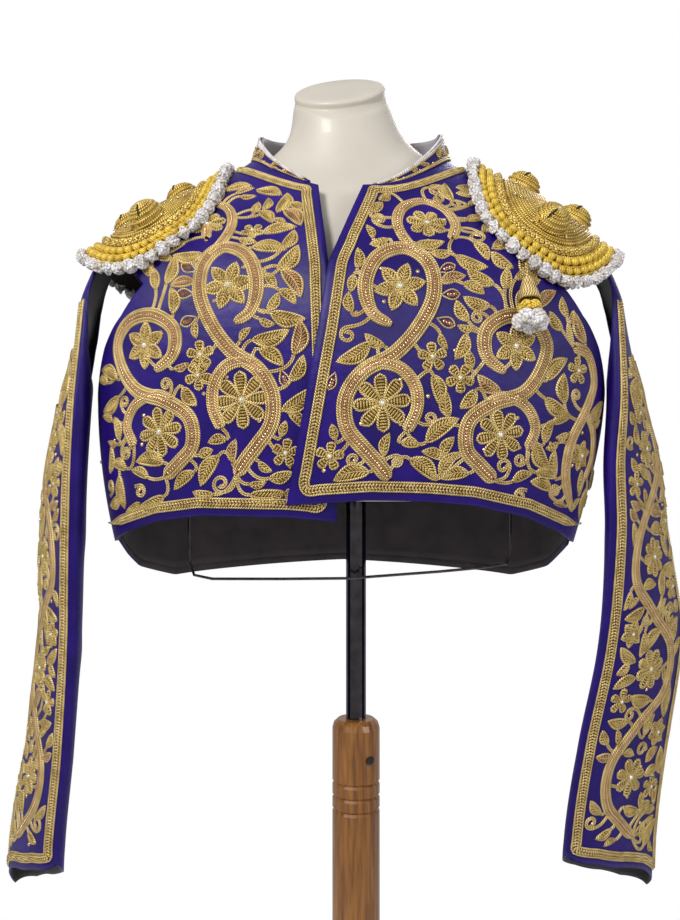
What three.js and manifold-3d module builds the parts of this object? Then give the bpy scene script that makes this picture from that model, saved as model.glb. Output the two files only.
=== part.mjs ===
// Picador jacket (short stiff embroidered jacket) worn on a limbless dress form with its stand.
// Millimetres, +Z up, the front faces -Y, +X is the wearer's left. Origin: centre of the base's
// underside. The jacket is a set of thin walled panels that follow one body surface, a table of
// rings from the hem to the neckline; whatever lies on a panel is the same surface moved out.

import * as THREE from 'three';
import { mergeVertices } from 'three/addons/utils/BufferGeometryUtils.js';
import Module from 'manifold-3d';

const wasm = await Module();
wasm.setup();

// ---------------------------------------------------------------- driving dimensions (mm)
const CLOTH = 2.2;            // satin, canvas and interlining of a panel
const LINING = 1.0;           // lining wall
const SEAM = 0.34;            // space between neighbouring pieces at a seam
const LIFT = 0.5;             // space under a braid that lies on a panel
const LAP = 5.4;              // how far the upper front stands off where it laps over the other
const GALON_HALF = 4.5;       // half width of the edge braid
const GALON_INSET = 12;       // centre line of the braid, from the panel's edge
const GALON_HIGH = 2.0;       // thickness of the braid
const SCROLL_HALF = 6;        // half width of the padded scroll bands
const SCROLL_HIGH = 3.0;      // thickness of the padded scroll bands
const SCROLL_LIFT = 0.7;      // space under a scroll band
const SLEEVE_LIFT = 1.1;      // space under what lies on a sleeve
const COLLAR_HIGH = 30;       // stand collar at the back
const COLLAR_LEAN = 0.34;     // inward lean of the collar, per mm of height
const TUBE_R = 10;            // stand tube
const POST_R = 23.8;          // turned wooden post
const POST_TOP = 877;         // height of the post's shoulder
const BASE_R = 160;           // round foot
const BASE_HIGH = 22;
const FORM_BOTTOM = 1098;     // underside of the form
const WIRE_R = 1.5;           // bent wire under the form

// Body rings. front, side, back: height at those three places; w: half width; f, b: depth to the
// front and to the back; n: roundness of the section (2 is an ellipse); x: centre of the section.
const RINGS = [
  { front: 1000, side: 1000, back: 1000, w: 208, f: 112, b: 106, n: 2.30, x: -13 },
  { front: 1050, side: 1050, back: 1050, w: 222, f: 126, b: 114, n: 2.30, x: -12 },
  { front: 1100, side: 1100, back: 1100, w: 234, f: 134, b: 119, n: 2.30, x: -10 },
  { front: 1150, side: 1150, back: 1150, w: 243, f: 138, b: 121, n: 2.30, x: -7 },
  { front: 1200, side: 1200, back: 1200, w: 247, f: 138, b: 122, n: 2.30, x: -5 },
  { front: 1250, side: 1250, back: 1250, w: 246, f: 134, b: 122, n: 2.30, x: -5 },
  { front: 1288, side: 1294, back: 1300, w: 240, f: 127, b: 121, n: 2.30, x: -5 },
  { front: 1318, side: 1335, back: 1345, w: 226, f: 117, b: 114, n: 2.30, x: -5 },
  { front: 1340, side: 1366, back: 1380, w: 184, f: 108, b: 100, n: 2.20, x: -5 },
  { front: 1361, side: 1398, back: 1411, w: 141, f: 98, b: 84, n: 2.10, x: -5 },
  { front: 1381, side: 1429, back: 1437, w: 97, f: 88, b: 64, n: 2.00, x: -5 },
];
const ARMPIT = 3.7;           // ring level of the armpit
const TIP = 7.0;              // ring level of the shoulder tip
const NECK = 10.0;            // ring level of the neckline

// Armhole edge as an angle from the side, at ring levels between the armpit and the tip.
const ARMHOLE = {
  level: [3.7, 3.85, 4.2, 4.8, 5.4, 6.1, 6.5, 6.8, 6.94, 7.0],
  front: [0, 9, 15, 22, 32, 40, 33, 19, 9, 0],
  back: [0, 8, 13, 18, 24, 28, 25, 15, 8, 0],
};

// Centre edges of the fronts (x at height z), and hems (height at x; the back's by angle).
const EDGE_LEFT = { z: [1090, 1106, 1249, 1306, 1340, 1392], x: [-63, -60, -34.5, -26, -12, 9] };
const EDGE_RIGHT = { z: [1070, 1085, 1200, 1306, 1340, 1384], x: [-18.5, -18.6, -22, -26, -30, -36] };
const HEM_LEFT = { x: [-70, 7, 60, 100, 150, 187, 205, 225],
                   z: [1096, 1101, 1099, 1095.5, 1084, 1068, 1057, 1050] };
const HEM_RIGHT = { x: [-250, -236, -215, -180, -139, -60, -18, 0],
                    z: [1050, 1055, 1068, 1080, 1086, 1085, 1081, 1080] };
const HEM_BACK = { a: [90, 97, 105, 125, 150, 180, 210, 235, 255, 263, 270],
                   z: [1051, 1040, 1026, 1013, 1018, 1025, 1018, 1013, 1026, 1040, 1055] };

// ---------------------------------------------------------------- numbers and tables
const DEG = Math.PI / 180;
const V3 = (x, y, z) => new THREE.Vector3(x, y, z);
const mix = (a, b, t) => a + (b - a) * t;
const clamp = (v, lo, hi) => Math.min(hi, Math.max(lo, v));
const ease = (t) => { const c = clamp(t, 0, 1); return c * c * (3 - 2 * c); };

function lookup(xs, ys, x) {
  if (x <= xs[0]) return ys[0];
  for (let i = 1; i < xs.length; i++) {
    if (x <= xs[i]) return mix(ys[i - 1], ys[i], (x - xs[i - 1]) / (xs[i] - xs[i - 1]));
  }
  return ys[ys.length - 1];
}

function smoothTable(rows, key, level) {     // Catmull-Rom through the rows of a table
  const last = rows.length - 1;
  const i = clamp(Math.floor(level), 0, last - 1);
  const t = level - i;
  const p = (k) => rows[clamp(k, 0, last)][key];
  const m0 = (p(i + 1) - p(i - 1)) / (i === 0 ? 1 : 2);
  const m1 = (p(i + 2) - p(i)) / (i + 2 > last ? 1 : 2);
  const t2 = t * t, t3 = t2 * t;
  return (2 * t3 - 3 * t2 + 1) * p(i) + (t3 - 2 * t2 + t) * m0
    + (3 * t2 - 2 * t3) * p(i + 1) + (t3 - t2) * m1;
}

const power = (v, e) => Math.sign(v) * Math.abs(v) ** e;

function ringPoint(rows, angle, level) {
  const get = (key) => smoothTable(rows, key, level);
  const s = Math.sin(angle), c = Math.cos(angle), e = 2 / get('n');
  const toFront = c > 0;
  const z = mix(get('side'), get(toFront ? 'front' : 'back'), c * c);
  return V3(get('x') + get('w') * power(s, e), -(toFront ? get('f') : get('b')) * power(c, e), z);
}
const bodyPoint = (angle, level) => ringPoint(RINGS, angle, level);

function bodyNormal(angle, level) {
  const d = 0.012;
  const a = bodyPoint(angle + d, level).sub(bodyPoint(angle - d, level));
  const u = bodyPoint(angle, level + 0.03).sub(bodyPoint(angle, level - 0.03));
  return a.cross(u).normalize();
}

const moved = (angle, level, out) =>
  bodyPoint(angle, level).addScaledVector(bodyNormal(angle, level), out);

function angleAtX(level, x) {                // angle on the front half of a ring at a given x
  const w = smoothTable(RINGS, 'w', level), n = smoothTable(RINGS, 'n', level);
  const r = clamp((x - smoothTable(RINGS, 'x', level)) / w, -1, 1);
  return Math.asin(power(r, n / 2));
}

function levelAtHeight(angle, z) {           // ring level where the surface has height z
  let lo = 0, hi = NECK;
  for (let i = 0; i < 26; i++) {
    const mid = (lo + hi) / 2;
    if (bodyPoint(angle, mid).z < z) lo = mid; else hi = mid;
  }
  return (lo + hi) / 2;
}

// ---------------------------------------------------------------- mesh builders
function solid(points, faces) {
  const g = new THREE.BufferGeometry();
  g.setAttribute('position', new THREE.Float32BufferAttribute(points.flatMap((p) => p.toArray()), 3));
  g.setIndex(faces.flat());
  g.computeVertexNormals();
  return g;
}

function sheetSolid(outer, inner) {          // two grids of points [row][column], walls all round
  const rows = outer.length, cols = outer[0].length, faces = [];
  const at = (side, r, c) => side * rows * cols + r * cols + c;
  for (let r = 0; r + 1 < rows; r++) {
    for (let c = 0; c + 1 < cols; c++) {
      const o = [at(0, r, c), at(0, r, c + 1), at(0, r + 1, c + 1), at(0, r + 1, c)];
      const n = [at(1, r, c), at(1, r, c + 1), at(1, r + 1, c + 1), at(1, r + 1, c)];
      faces.push([o[0], o[1], o[2]], [o[0], o[2], o[3]], [n[0], n[2], n[1]], [n[0], n[3], n[2]]);
    }
  }
  const wall = (a, b, c, d) => faces.push([a, b, c], [a, c, d]);
  for (let c = 0; c + 1 < cols; c++) {
    wall(at(0, 0, c), at(1, 0, c), at(1, 0, c + 1), at(0, 0, c + 1));
    wall(at(0, rows - 1, c), at(0, rows - 1, c + 1), at(1, rows - 1, c + 1), at(1, rows - 1, c));
  }
  for (let r = 0; r + 1 < rows; r++) {
    wall(at(0, r, 0), at(0, r + 1, 0), at(1, r + 1, 0), at(1, r, 0));
    wall(at(0, r, cols - 1), at(1, r, cols - 1), at(1, r + 1, cols - 1), at(0, r + 1, cols - 1));
  }
  return solid([...outer.flat(), ...inner.flat()], faces);
}

function loopSolid(rings, closed) {          // rings of points; closed: the last meets the first
  const n = rings[0].length, m = rings.length, faces = [];
  for (let i = 0; i < (closed ? m : m - 1); i++) {
    const j = (i + 1) % m;
    for (let k = 0; k < n; k++) {
      const l = (k + 1) % n;
      faces.push([i * n + k, i * n + l, j * n + l], [i * n + k, j * n + l, j * n + k]);
    }
  }
  if (!closed) {
    for (let k = 1; k + 1 < n; k++) {
      faces.push([0, k + 1, k], [(m - 1) * n, (m - 1) * n + k, (m - 1) * n + k + 1]);
    }
  }
  return solid(rings.flat(), faces);
}

function outward(geometry) {                 // turn every face over if the volume is negative
  const p = geometry.attributes.position, idx = geometry.index.array;
  const a = V3(), b = V3(), c = V3();
  let volume = 0;
  for (let i = 0; i < idx.length; i += 3) {
    a.fromBufferAttribute(p, idx[i]); b.fromBufferAttribute(p, idx[i + 1]);
    c.fromBufferAttribute(p, idx[i + 2]);
    volume += a.dot(b.cross(c));
  }
  if (volume < 0) {
    for (let i = 0; i < idx.length; i += 3) [idx[i + 1], idx[i + 2]] = [idx[i + 2], idx[i + 1]];
    geometry.computeVertexNormals();
  }
  return geometry;
}

function toManifold(geometry) {
  const g = geometry.clone();
  g.deleteAttribute('normal');
  if (g.attributes.uv) g.deleteAttribute('uv');
  const m = mergeVertices(g, 1e-3);
  return new wasm.Manifold(new wasm.Mesh({ numProp: 3,
    vertProperties: new Float32Array(m.attributes.position.array),
    triVerts: new Uint32Array(m.index.array) }));
}

function fuse(list) {
  let all = toManifold(list[0]);
  for (const g of list.slice(1)) all = all.add(toManifold(g));
  const mesh = all.getMesh();
  const g = new THREE.BufferGeometry();
  g.setAttribute('position', new THREE.Float32BufferAttribute(mesh.vertProperties, 3));
  g.setIndex(Array.from(mesh.triVerts));
  g.computeVertexNormals();
  return g;
}

// A raised band along a line of { p, n } points: p lies on the cloth, n points off it.
function band(line, half, low, high, taper = 0) {
  const rings = line.map(({ p, n }, i) => {
    const before = line[Math.max(0, i - 1)].p, after = line[Math.min(line.length - 1, i + 1)].p;
    const d0 = p.clone().sub(before).normalize(), d1 = after.clone().sub(p).normalize();
    const along = d0.lengthSq() < 0.5 ? d1 : d1.lengthSq() < 0.5 ? d0 : d0.clone().add(d1).normalize();
    const turn = d0.lengthSq() < 0.5 || d1.lengthSq() < 0.5 ? 1 : clamp(along.dot(d1), 0.6, 1);
    const side = along.clone().cross(n).normalize();
    const t = i / (line.length - 1);
    const thin = taper ? mix(0.3, 1, ease(Math.min(t, 1 - t) / taper)) : 1;
    const w = half * thin / turn;
    const put = (across, up) => p.clone().addScaledVector(side, across).addScaledVector(n, up);
    return [put(-w, low), put(w, low), put(w * 0.62, high), put(-w * 0.62, high)];
  });
  return outward(loopSolid(rings, false));
}

// ---------------------------------------------------------------- materials
const material = (color, roughness, metalness = 0) =>
  new THREE.MeshStandardMaterial({ color, roughness, metalness });
const SATIN = material(0x2f1c86, 0.38);
const SATIN_BACK = material(0x2b197c, 0.40);
const LINING_GREY = material(0x4a4048, 0.6);
const LINING_BLACK = material(0x17131a, 0.6);
const LINING_PALE = material(0xc9c6cf, 0.6);
const GOLD_BRAID = material(0xc9a548, 0.42, 0.35);
const GOLD_SCROLL = material(0xcfae58, 0.45, 0.35);
const GOLD_PLATE = material(0xb98f36, 0.40, 0.4);
const SILK = material(0xe8c23c, 0.45);
const WHITE_CORD = material(0xe4e1e6, 0.75);
const FORM_WHITE = material(0xe4dfd3, 0.5);
const CHROME = material(0x6c6a6d, 0.18, 0.9);
const WOOD = material(0x8a5a26, 0.38);
const BASE_GREY = material(0x5e5c60, 0.3, 0.8);

const jacketOnStand = new THREE.Group();
const jacket = new THREE.Group();
const stand = new THREE.Group();
jacketOnStand.add(jacket, stand);

function piece(name, geometry, mat, parent = jacket) {
  const mesh = new THREE.Mesh(geometry, mat);
  mesh.name = name;
  parent.add(mesh);
  return mesh;
}

// ---------------------------------------------------------------- the fronts
// side: +1 the wearer's left front (laps over), -1 the wearer's right front (beneath).
const lapOut = (side, x) => (side > 0 ? LAP * ease((50 - x) / 56) : 0);

function frontEdgeAngle(side, level) {
  const t = side > 0 ? EDGE_LEFT : EDGE_RIGHT;
  const z = smoothTable(RINGS, 'front', level);
  return angleAtX(level, lookup(t.z, t.x, z));
}

function armholeAngle(level, which) {        // how far the armhole cuts in from the side, radians
  return lookup(ARMHOLE.level, ARMHOLE[which], level) * DEG;
}

function frontHemLevel(side, angle) {
  const t = side > 0 ? HEM_LEFT : HEM_RIGHT;
  let level = 1.5;
  for (let i = 0; i < 6; i++) level = levelAtHeight(angle, lookup(t.x, t.z, bodyPoint(angle, level).x));
  return level;
}

const FRONT_ROWS = [0, 0.34, 0.68, 3.05, 3.7, 4.2, 4.8, 5.4, 6.1, 6.5, 6.8, 7.0, 7.7, 8.4, 9.2, 10.0];
const FRONT_COLS = 12;
const FIRST_LEVEL = 3;                       // rows below this follow the hem

function frontAt(side, row, col, out) {      // row: a value of FRONT_ROWS; col: 0 centre to 1 side
  const level0 = row < 1 ? mix(1.5, 3, row) : row;
  let angle = 0, level = level0;
  for (let i = 0; i < 4; i++) {
    const inner = frontEdgeAngle(side, level);
    const outer = side * (90 * DEG - armholeAngle(level, 'front'));
    angle = mix(inner, outer, col);
    if (row < 1) level = mix(frontHemLevel(side, angle), FIRST_LEVEL - 0.55, row / 0.68 * 0.72);
  }
  const p = bodyPoint(angle, level), n = bodyNormal(angle, level);
  const atSide = col === 1 && armholeAngle(level, 'front') < 1e-6;
  if (atSide) p.y -= SEAM / 2;
  return p.addScaledVector(n, out + lapOut(side, p.x));
}

function frontPanel(side) {
  const grid = (out) => FRONT_ROWS.map((row) => Array.from({ length: FRONT_COLS + 1 },
    (_, c) => frontAt(side, row, c / FRONT_COLS, out)));
  return outward(sheetSolid(grid(CLOTH), grid(0)));
}

piece('front_left', frontPanel(1), SATIN);
piece('front_right', frontPanel(-1), SATIN);

// ---------------------------------------------------------------- the back and its lining
const BACK_ROWS = [0, 0.3, 0.6, 2.6, 3.2, 3.7, 4.2, 4.8, 5.4, 6.1, 6.5, 6.8, 7.0, 7.7, 8.4, 9.2, 10.0];

const backHemLevel = (angle) => levelAtHeight(angle, lookup(HEM_BACK.a, HEM_BACK.z, angle / DEG));

function backAt(row, col, out, inset = 0) {  // col: 0 the wearer's left side to 1 the right side
  const level0 = row < 1 ? 1.5 : row;
  let level = level0, angle = Math.PI;
  for (let i = 0; i < 4; i++) {
    const cut = armholeAngle(level, 'back');
    angle = mix(90 * DEG + cut, 270 * DEG - cut, col);
    if (row < 1) level = mix(backHemLevel(angle) + inset, 2.1, row / 0.6 * 0.7);
  }
  const p = bodyPoint(angle, level), n = bodyNormal(angle, level);
  if ((col === 0 || col === 1) && armholeAngle(level, 'back') < 1e-6) p.y += SEAM / 2;
  return p.addScaledVector(n, out);
}

function backPanel(rows, cols, low, high, inset = 0) {
  const grid = (out) => rows.map((row) => Array.from({ length: cols + 1 },
    (_, c) => backAt(row, c / cols, out, inset)));
  return outward(sheetSolid(grid(high), grid(low)));
}

piece('back', backPanel(BACK_ROWS, 20, 0, CLOTH), SATIN_BACK);

const LINING_ROWS = [0, 0.6, 2.6, 3.2, 3.7];
piece('back_lining', backPanel(LINING_ROWS, 20, -SEAM - LINING - 0.3, -SEAM - 0.3, 0.14), LINING_GREY);

// ---------------------------------------------------------------- the stand collar
// It starts on the neckline's cut edge, runs from one front end round the back to the other, and
// tapers to a point at each end.
const COLLAR_COLS = 26;
const collarStart = frontEdgeAngle(1, NECK) + 4 * DEG;
const collarEnd = 2 * Math.PI + frontEdgeAngle(-1, NECK) - 5 * DEG;

function collarAt(t, up, out) {              // t: 0 to 1 along the neckline; up: 0 to 1 of its height
  const angle = mix(collarStart, collarEnd, t);
  const n = bodyNormal(angle, NECK), base = bodyPoint(angle, NECK);
  const rise = base.clone().sub(bodyPoint(angle, NECK - 0.05)).normalize();
  const ends = Math.min(t, 1 - t);
  const high = COLLAR_HIGH * mix(0.10, 1, ease(ends / 0.26) * 0.55 + Math.min(1, ends / 0.2) * 0.45);
  const flat = V3(n.x, n.y, 0).normalize();
  const foot = base.addScaledVector(rise, SEAM);
  const way = up < 0.12 ? n.clone().lerp(flat, up / 0.12).normalize() : flat;
  const lean = flat.clone().multiplyScalar(-COLLAR_LEAN * high * up);
  return foot.add(lean).add(V3(0, 0, high * up)).addScaledVector(way, out);
}

const COLLAR_UPS = [0, 0.16, 0.55, 1];
function collarPiece(ups, low, high, c0, c1, cols) {
  const grid = (out) => ups.map((up) => Array.from({ length: cols + 1 },
    (_, c) => collarAt(mix(c0, c1, c / cols), up, out)));
  return outward(sheetSolid(grid(high), grid(low)));
}
piece('collar', collarPiece(COLLAR_UPS, 0, CLOTH, 0, 1, COLLAR_COLS), SATIN);
piece('collar_lining',
  collarPiece([0.24, 0.55, 0.96], -SEAM - 1.2, -SEAM - 0.3, 3 / 26, 23 / 26, 20), LINING_PALE);

// ---------------------------------------------------------------- the sleeves
// Sections from the cuff to the shoulder. z: height of the section; x, y: its centre; long, short:
// half sizes; turn: degrees that the long way is turned from the y direction, front end inward.
const SLEEVE_RIGHT_ARM = [    // wearer's right arm, at negative x
  { z: 700, x: -323, y: 6, long: 60, short: 17, turn: 36 },
  { z: 760, x: -319, y: 4, long: 60, short: 17, turn: 34 },
  { z: 850, x: -306, y: 0, long: 60, short: 16, turn: 30 },
  { z: 960, x: -295, y: -4, long: 62, short: 16, turn: 26 },
  { z: 1060, x: -292, y: -6, long: 66, short: 17, turn: 25 },
  { z: 1130, x: -287, y: -6, long: 68, short: 17, turn: 22 },
  { z: 1190, x: -279, y: -4, long: 70, short: 15, turn: 17 },
  { z: 1250, x: -268, y: -2, long: 66, short: 11, turn: 11 },
  { z: 1290, x: -262, y: 0, long: 58, short: 10, turn: 8 },
  { z: 1316, x: -253, y: 0, long: 44, short: 9, turn: 6 },
  { z: 1334, x: -243, y: 0, long: 30, short: 8, turn: 3 },
  { z: 1339.8, x: -233, y: 0, long: 25, short: 8, turn: 1 },
  { z: 1343.2, x: -221, y: 0, long: 22, short: 8, turn: 0 },
];
const SLEEVE_LEFT_ARM = [     // wearer's left arm, at positive x
  { z: 700, x: 256, y: 14, long: 62, short: 18, turn: 56 },
  { z: 760, x: 257, y: 10, long: 62, short: 18, turn: 57 },
  { z: 850, x: 267, y: 2, long: 62, short: 17, turn: 56 },
  { z: 960, x: 283, y: -4, long: 62, short: 17, turn: 51 },
  { z: 1060, x: 279, y: -6, long: 64, short: 17, turn: 38 },
  { z: 1130, x: 275, y: -6, long: 67, short: 17, turn: 34 },
  { z: 1190, x: 269, y: -4, long: 69, short: 15, turn: 24 },
  { z: 1250, x: 261, y: -2, long: 65, short: 12, turn: 17 },
  { z: 1290, x: 254, y: 0, long: 58, short: 11, turn: 12 },
  { z: 1316, x: 245, y: 0, long: 44, short: 9, turn: 9 },
  { z: 1334, x: 233, y: 0, long: 30, short: 8, turn: 3 },
  { z: 1339.8, x: 223, y: 0, long: 25, short: 8, turn: 1 },
  { z: 1343.2, x: 211, y: 0, long: 22, short: 8, turn: 0 },
];
// Lower and upper ends of the sleeve wall by angle round the section (0 the front inner fold,
// 90 the outer face, 180 the back fold, 270 the face towards the body).
const CUFF_CUT = { a: [0, 60, 120, 180, 240, 300, 360], z: [748, 738, 718, 690, 702, 728, 748] };
const HEAD_CUT = { a: [0, 12, 30, 150, 168, 185, 205, 225, 270, 315, 335, 348, 360],
                   z: [1300, 1325, 1343.2, 1343.2, 1325, 1296, 1250, 1216, 1196, 1214, 1240, 1268, 1300] };

function sleeveSection(rows, z) {
  let i = 0;
  while (i + 2 < rows.length && z > rows[i + 1].z) i++;
  const level = i + (z - rows[i].z) / (rows[i + 1].z - rows[i].z);
  const get = (key) => smoothTable(rows, key, level);
  return { x: get('x'), y: get('y'), long: get('long'), short: get('short'), turn: get('turn') * DEG };
}

function sleevePoint(side, rows, a, z, out) {
  const s = sleeveSection(rows, z);
  const fold = V3(-side * Math.sin(s.turn), -Math.cos(s.turn), 0);
  const face = V3(side * Math.cos(s.turn), -Math.sin(s.turn), 0);
  const c = Math.cos(a), d = Math.sin(a);
  const e = 2 / 2.3;
  return V3(s.x, s.y, z).addScaledVector(fold, (s.long + out) * power(c, e))
    .addScaledVector(face, (s.short + out) * power(d, e));
}

function sleeveNormal(side, rows, a, z) {
  const round = sleevePoint(side, rows, a + 0.04, z, 0).sub(sleevePoint(side, rows, a - 0.04, z, 0));
  const up = sleevePoint(side, rows, a, z + 0.4, 0).sub(sleevePoint(side, rows, a, z - 0.4, 0));
  return round.cross(up).normalize().multiplyScalar(side);
}

const SLEEVE_STEPS = 22;
const SLEEVE_RUN = [0, 0.1, 0.2, 0.3, 0.4, 0.5, 0.59, 0.68, 0.76, 0.84, 0.91, 0.955, 0.985, 1];

function sleeveTube(side, rows, low, high, cut, run, headDrop = 0) {
  const ring = (t, out) => Array.from({ length: SLEEVE_STEPS }, (_, k) => {
    const deg = 360 * k / SLEEVE_STEPS;
    const z0 = Math.max(cut, lookup(CUFF_CUT.a, CUFF_CUT.z, deg));
    const z1 = lookup(HEAD_CUT.a, HEAD_CUT.z, deg) - headDrop;
    const a = deg * DEG, z = mix(z0, z1, t);
    return sleevePoint(side, rows, a, z, 0).addScaledVector(sleeveNormal(side, rows, a, z), out);
  });
  const outer = run.map((t) => ring(t, high)), inner = run.map((t) => ring(t, low));
  return outward(loopSolid([...outer, ...inner.reverse()].map((r) => r), true));
}

piece('sleeve_right', sleeveTube(-1, SLEEVE_RIGHT_ARM, -CLOTH, 0, 0, SLEEVE_RUN), SATIN);
piece('sleeve_left', sleeveTube(1, SLEEVE_LEFT_ARM, -CLOTH, 0, 0, SLEEVE_RUN), SATIN);

// ---------------------------------------------------------------- display form
const FORM = [
  { front: 1098, side: 1098, back: 1098, w: 214, f: 112, b: 98, n: 2.3, x: -11 },
  { front: 1150, side: 1150, back: 1150, w: 228, f: 120, b: 104, n: 2.3, x: -9 },
  { front: 1205, side: 1205, back: 1205, w: 230, f: 121, b: 106, n: 2.3, x: -7 },
  { front: 1255, side: 1255, back: 1255, w: 224, f: 117, b: 106, n: 2.3, x: -6 },
  { front: 1294, side: 1290, back: 1296, w: 212, f: 111, b: 104, n: 2.3, x: -5 },
  { front: 1318, side: 1322, back: 1334, w: 198, f: 105, b: 98, n: 2.3, x: -5 },
  { front: 1338, side: 1356, back: 1372, w: 172, f: 98, b: 88, n: 2.2, x: -5 },
  { front: 1357, side: 1398, back: 1404, w: 140, f: 90, b: 74, n: 2.1, x: -5 },
  { front: 1378, side: 1426, back: 1431, w: 92, f: 79, b: 56, n: 2.0, x: -6 },
  { front: 1404, side: 1443, back: 1449, w: 68, f: 62, b: 52, n: 2.0, x: -8 },
  { front: 1436, side: 1460, back: 1466, w: 56, f: 52, b: 49, n: 2.0, x: -10 },
  { front: 1462, side: 1486, back: 1500, w: 48, f: 47, b: 47, n: 2.0, x: -14 },
];
const CAP_TILT = 33 * DEG, CAP_ROLL = 6.5 * DEG, CAP_R = 46, CAP_Z = 1503;
const FORM_STEPS = 28;

function formSolid() {
  const rings = FORM.map((_, i) => Array.from({ length: FORM_STEPS },
    (__, k) => ringPoint(FORM, 2 * Math.PI * k / FORM_STEPS, i)));
  const tilt = new THREE.Matrix4().makeRotationY(-CAP_ROLL)
    .multiply(new THREE.Matrix4().makeRotationX(CAP_TILT));
  for (const [r, up] of [[CAP_R, -4], [CAP_R, 0], [CAP_R - 3.5, 3]]) {
    rings.push(Array.from({ length: FORM_STEPS }, (_, k) => {
      const a = 2 * Math.PI * k / FORM_STEPS;
      return V3(r * Math.sin(a), -r * Math.cos(a), up).applyMatrix4(tilt).add(V3(-16, 2, CAP_Z));
    }));
  }
  return outward(loopSolid(rings, false));
}
piece('form', formSolid(), FORM_WHITE, stand);

// ---------------------------------------------------------------- stand
function turned(profile, steps) {            // profile: [radius, height] from the axis to the axis
  const g = new THREE.LatheGeometry(profile.map(([r, z]) => new THREE.Vector2(r, z)), steps);
  g.rotateX(Math.PI / 2);
  g.deleteAttribute('normal'); g.deleteAttribute('uv');
  const m = mergeVertices(g, 1e-3);
  m.computeVertexNormals();
  return outward(m);
}

const tube = turned([[0, POST_TOP + SEAM], [TUBE_R, POST_TOP + SEAM], [TUBE_R, FORM_BOTTOM - SEAM],
  [0, FORM_BOTTOM - SEAM]], 20);
piece('tube', tube, CHROME, stand);

const groove = (z, deep, half) => [[POST_R, z - half], [POST_R - deep, z], [POST_R, z + half]];
const postProfile = [[0, BASE_HIGH + 6 + SEAM], [POST_R + 2, BASE_HIGH + 6 + SEAM], [POST_R + 2, 60],
  [POST_R, 66], ...groove(787.5, 1.8, 2.4),
  ...groove(801, 1.8, 2.4), ...groove(814.5, 1.8, 2.4), [POST_R, 868], [POST_R - 1.6, 873.5],
  [POST_R - 5.5, POST_TOP], [0, POST_TOP]];
piece('post', turned(postProfile, 22), WOOD, stand);

piece('base', turned([[0, 0], [BASE_R - 2, 0], [BASE_R, 3], [BASE_R, 9], [BASE_R - 8, 15],
  [42, BASE_HIGH], [38, BASE_HIGH + 6], [0, BASE_HIGH + 6]], 32), BASE_GREY, stand);

const screw = turned([[0, 0], [4.5, 0], [4.5, 1.2], [3.2, 2], [0, 2]], 12);
screw.rotateX(Math.PI / 2);
screw.rotateZ(34 * DEG);
screw.translate(Math.sin(34 * DEG) * (POST_R + SEAM), -Math.cos(34 * DEG) * (POST_R + SEAM), 840);
piece('screw', screw, CHROME, stand);

// The bent wire that hangs from the form's underside and passes in front of the tube.
const wirePath = [V3(-163, -24, FORM_BOTTOM - SEAM), V3(-163, -24, 1060), V3(-163, -24, 1036),
  V3(-158, -26, 1023), V3(-140, -28, 1019.5), V3(-70, -33, 1020), V3(-6, -36, 1021),
  V3(80, -32, 1027), V3(128, -28, 1031), V3(146, -26, 1034), V3(150, -24, 1046),
  V3(150, -24, 1070), V3(150, -24, FORM_BOTTOM - SEAM)];

function roundBar(points, r, sides) {
  const rings = points.map((p, i) => {
    const d = points[Math.min(points.length - 1, i + 1)].clone()
      .sub(points[Math.max(0, i - 1)]).normalize();
    const side = V3(0, 1, 0).addScaledVector(d, -d.y).normalize(), up = d.clone().cross(side);
    return Array.from({ length: sides }, (_, k) => {
      const a = 2 * Math.PI * k / sides;
      return p.clone().addScaledVector(side, r * Math.cos(a)).addScaledVector(up, r * Math.sin(a));
    });
  });
  return outward(loopSolid(rings, false));
}
piece('wire', roundBar(wirePath, WIRE_R, 6), CHROME, stand);

// ---------------------------------------------------------------- braids on the panels
const onBody = (side, angle, level) => {
  const p = bodyPoint(angle, level), n = bodyNormal(angle, level);
  return { p: p.clone().addScaledVector(n, CLOTH + lapOut(side, p.x)), n };
};

function frontGalonLine(side) {              // neckline, front edge, hem
  const line = [];
  const inset = (level) => angleAtX(level, bodyPoint(frontEdgeAngle(side, level), level).x
    + side * GALON_INSET);
  const corner = 9.70;
  const a0 = side * 76 * DEG, a1 = inset(corner);
  for (let i = 0; i < 9; i++) line.push(onBody(side, mix(a0, a1, i / 9), mix(9.66, corner, i / 9)));
  const hemAt = (angle) => frontHemLevel(side, angle) + GALON_INSET / 50;
  let low = 2;
  for (let i = 0; i < 5; i++) low = hemAt(inset(low));
  for (let i = 0; i <= 14; i++) {
    const level = mix(corner, low, i / 14);
    line.push(onBody(side, inset(level), level));
  }
  const from = inset(low), to = side * 87.5 * DEG;
  for (let i = 1; i <= 15; i++) {
    const angle = mix(from, to, i / 15);
    line.push(onBody(side, angle, hemAt(angle)));
  }
  return line;
}
piece('galon_front_left', band(frontGalonLine(1), GALON_HALF, LIFT, LIFT + GALON_HIGH), GOLD_BRAID);
piece('galon_front_right', band(frontGalonLine(-1), GALON_HALF, LIFT, LIFT + GALON_HIGH), GOLD_BRAID);

const backGalon = Array.from({ length: 29 }, (_, i) => {
  const angle = mix(92.5, 267.5, i / 28) * DEG;
  return onBody(-1, angle, backHemLevel(angle) + GALON_INSET / 50);
});
piece('galon_back', band(backGalon, GALON_HALF, LIFT, LIFT + GALON_HIGH), GOLD_BRAID);

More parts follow.
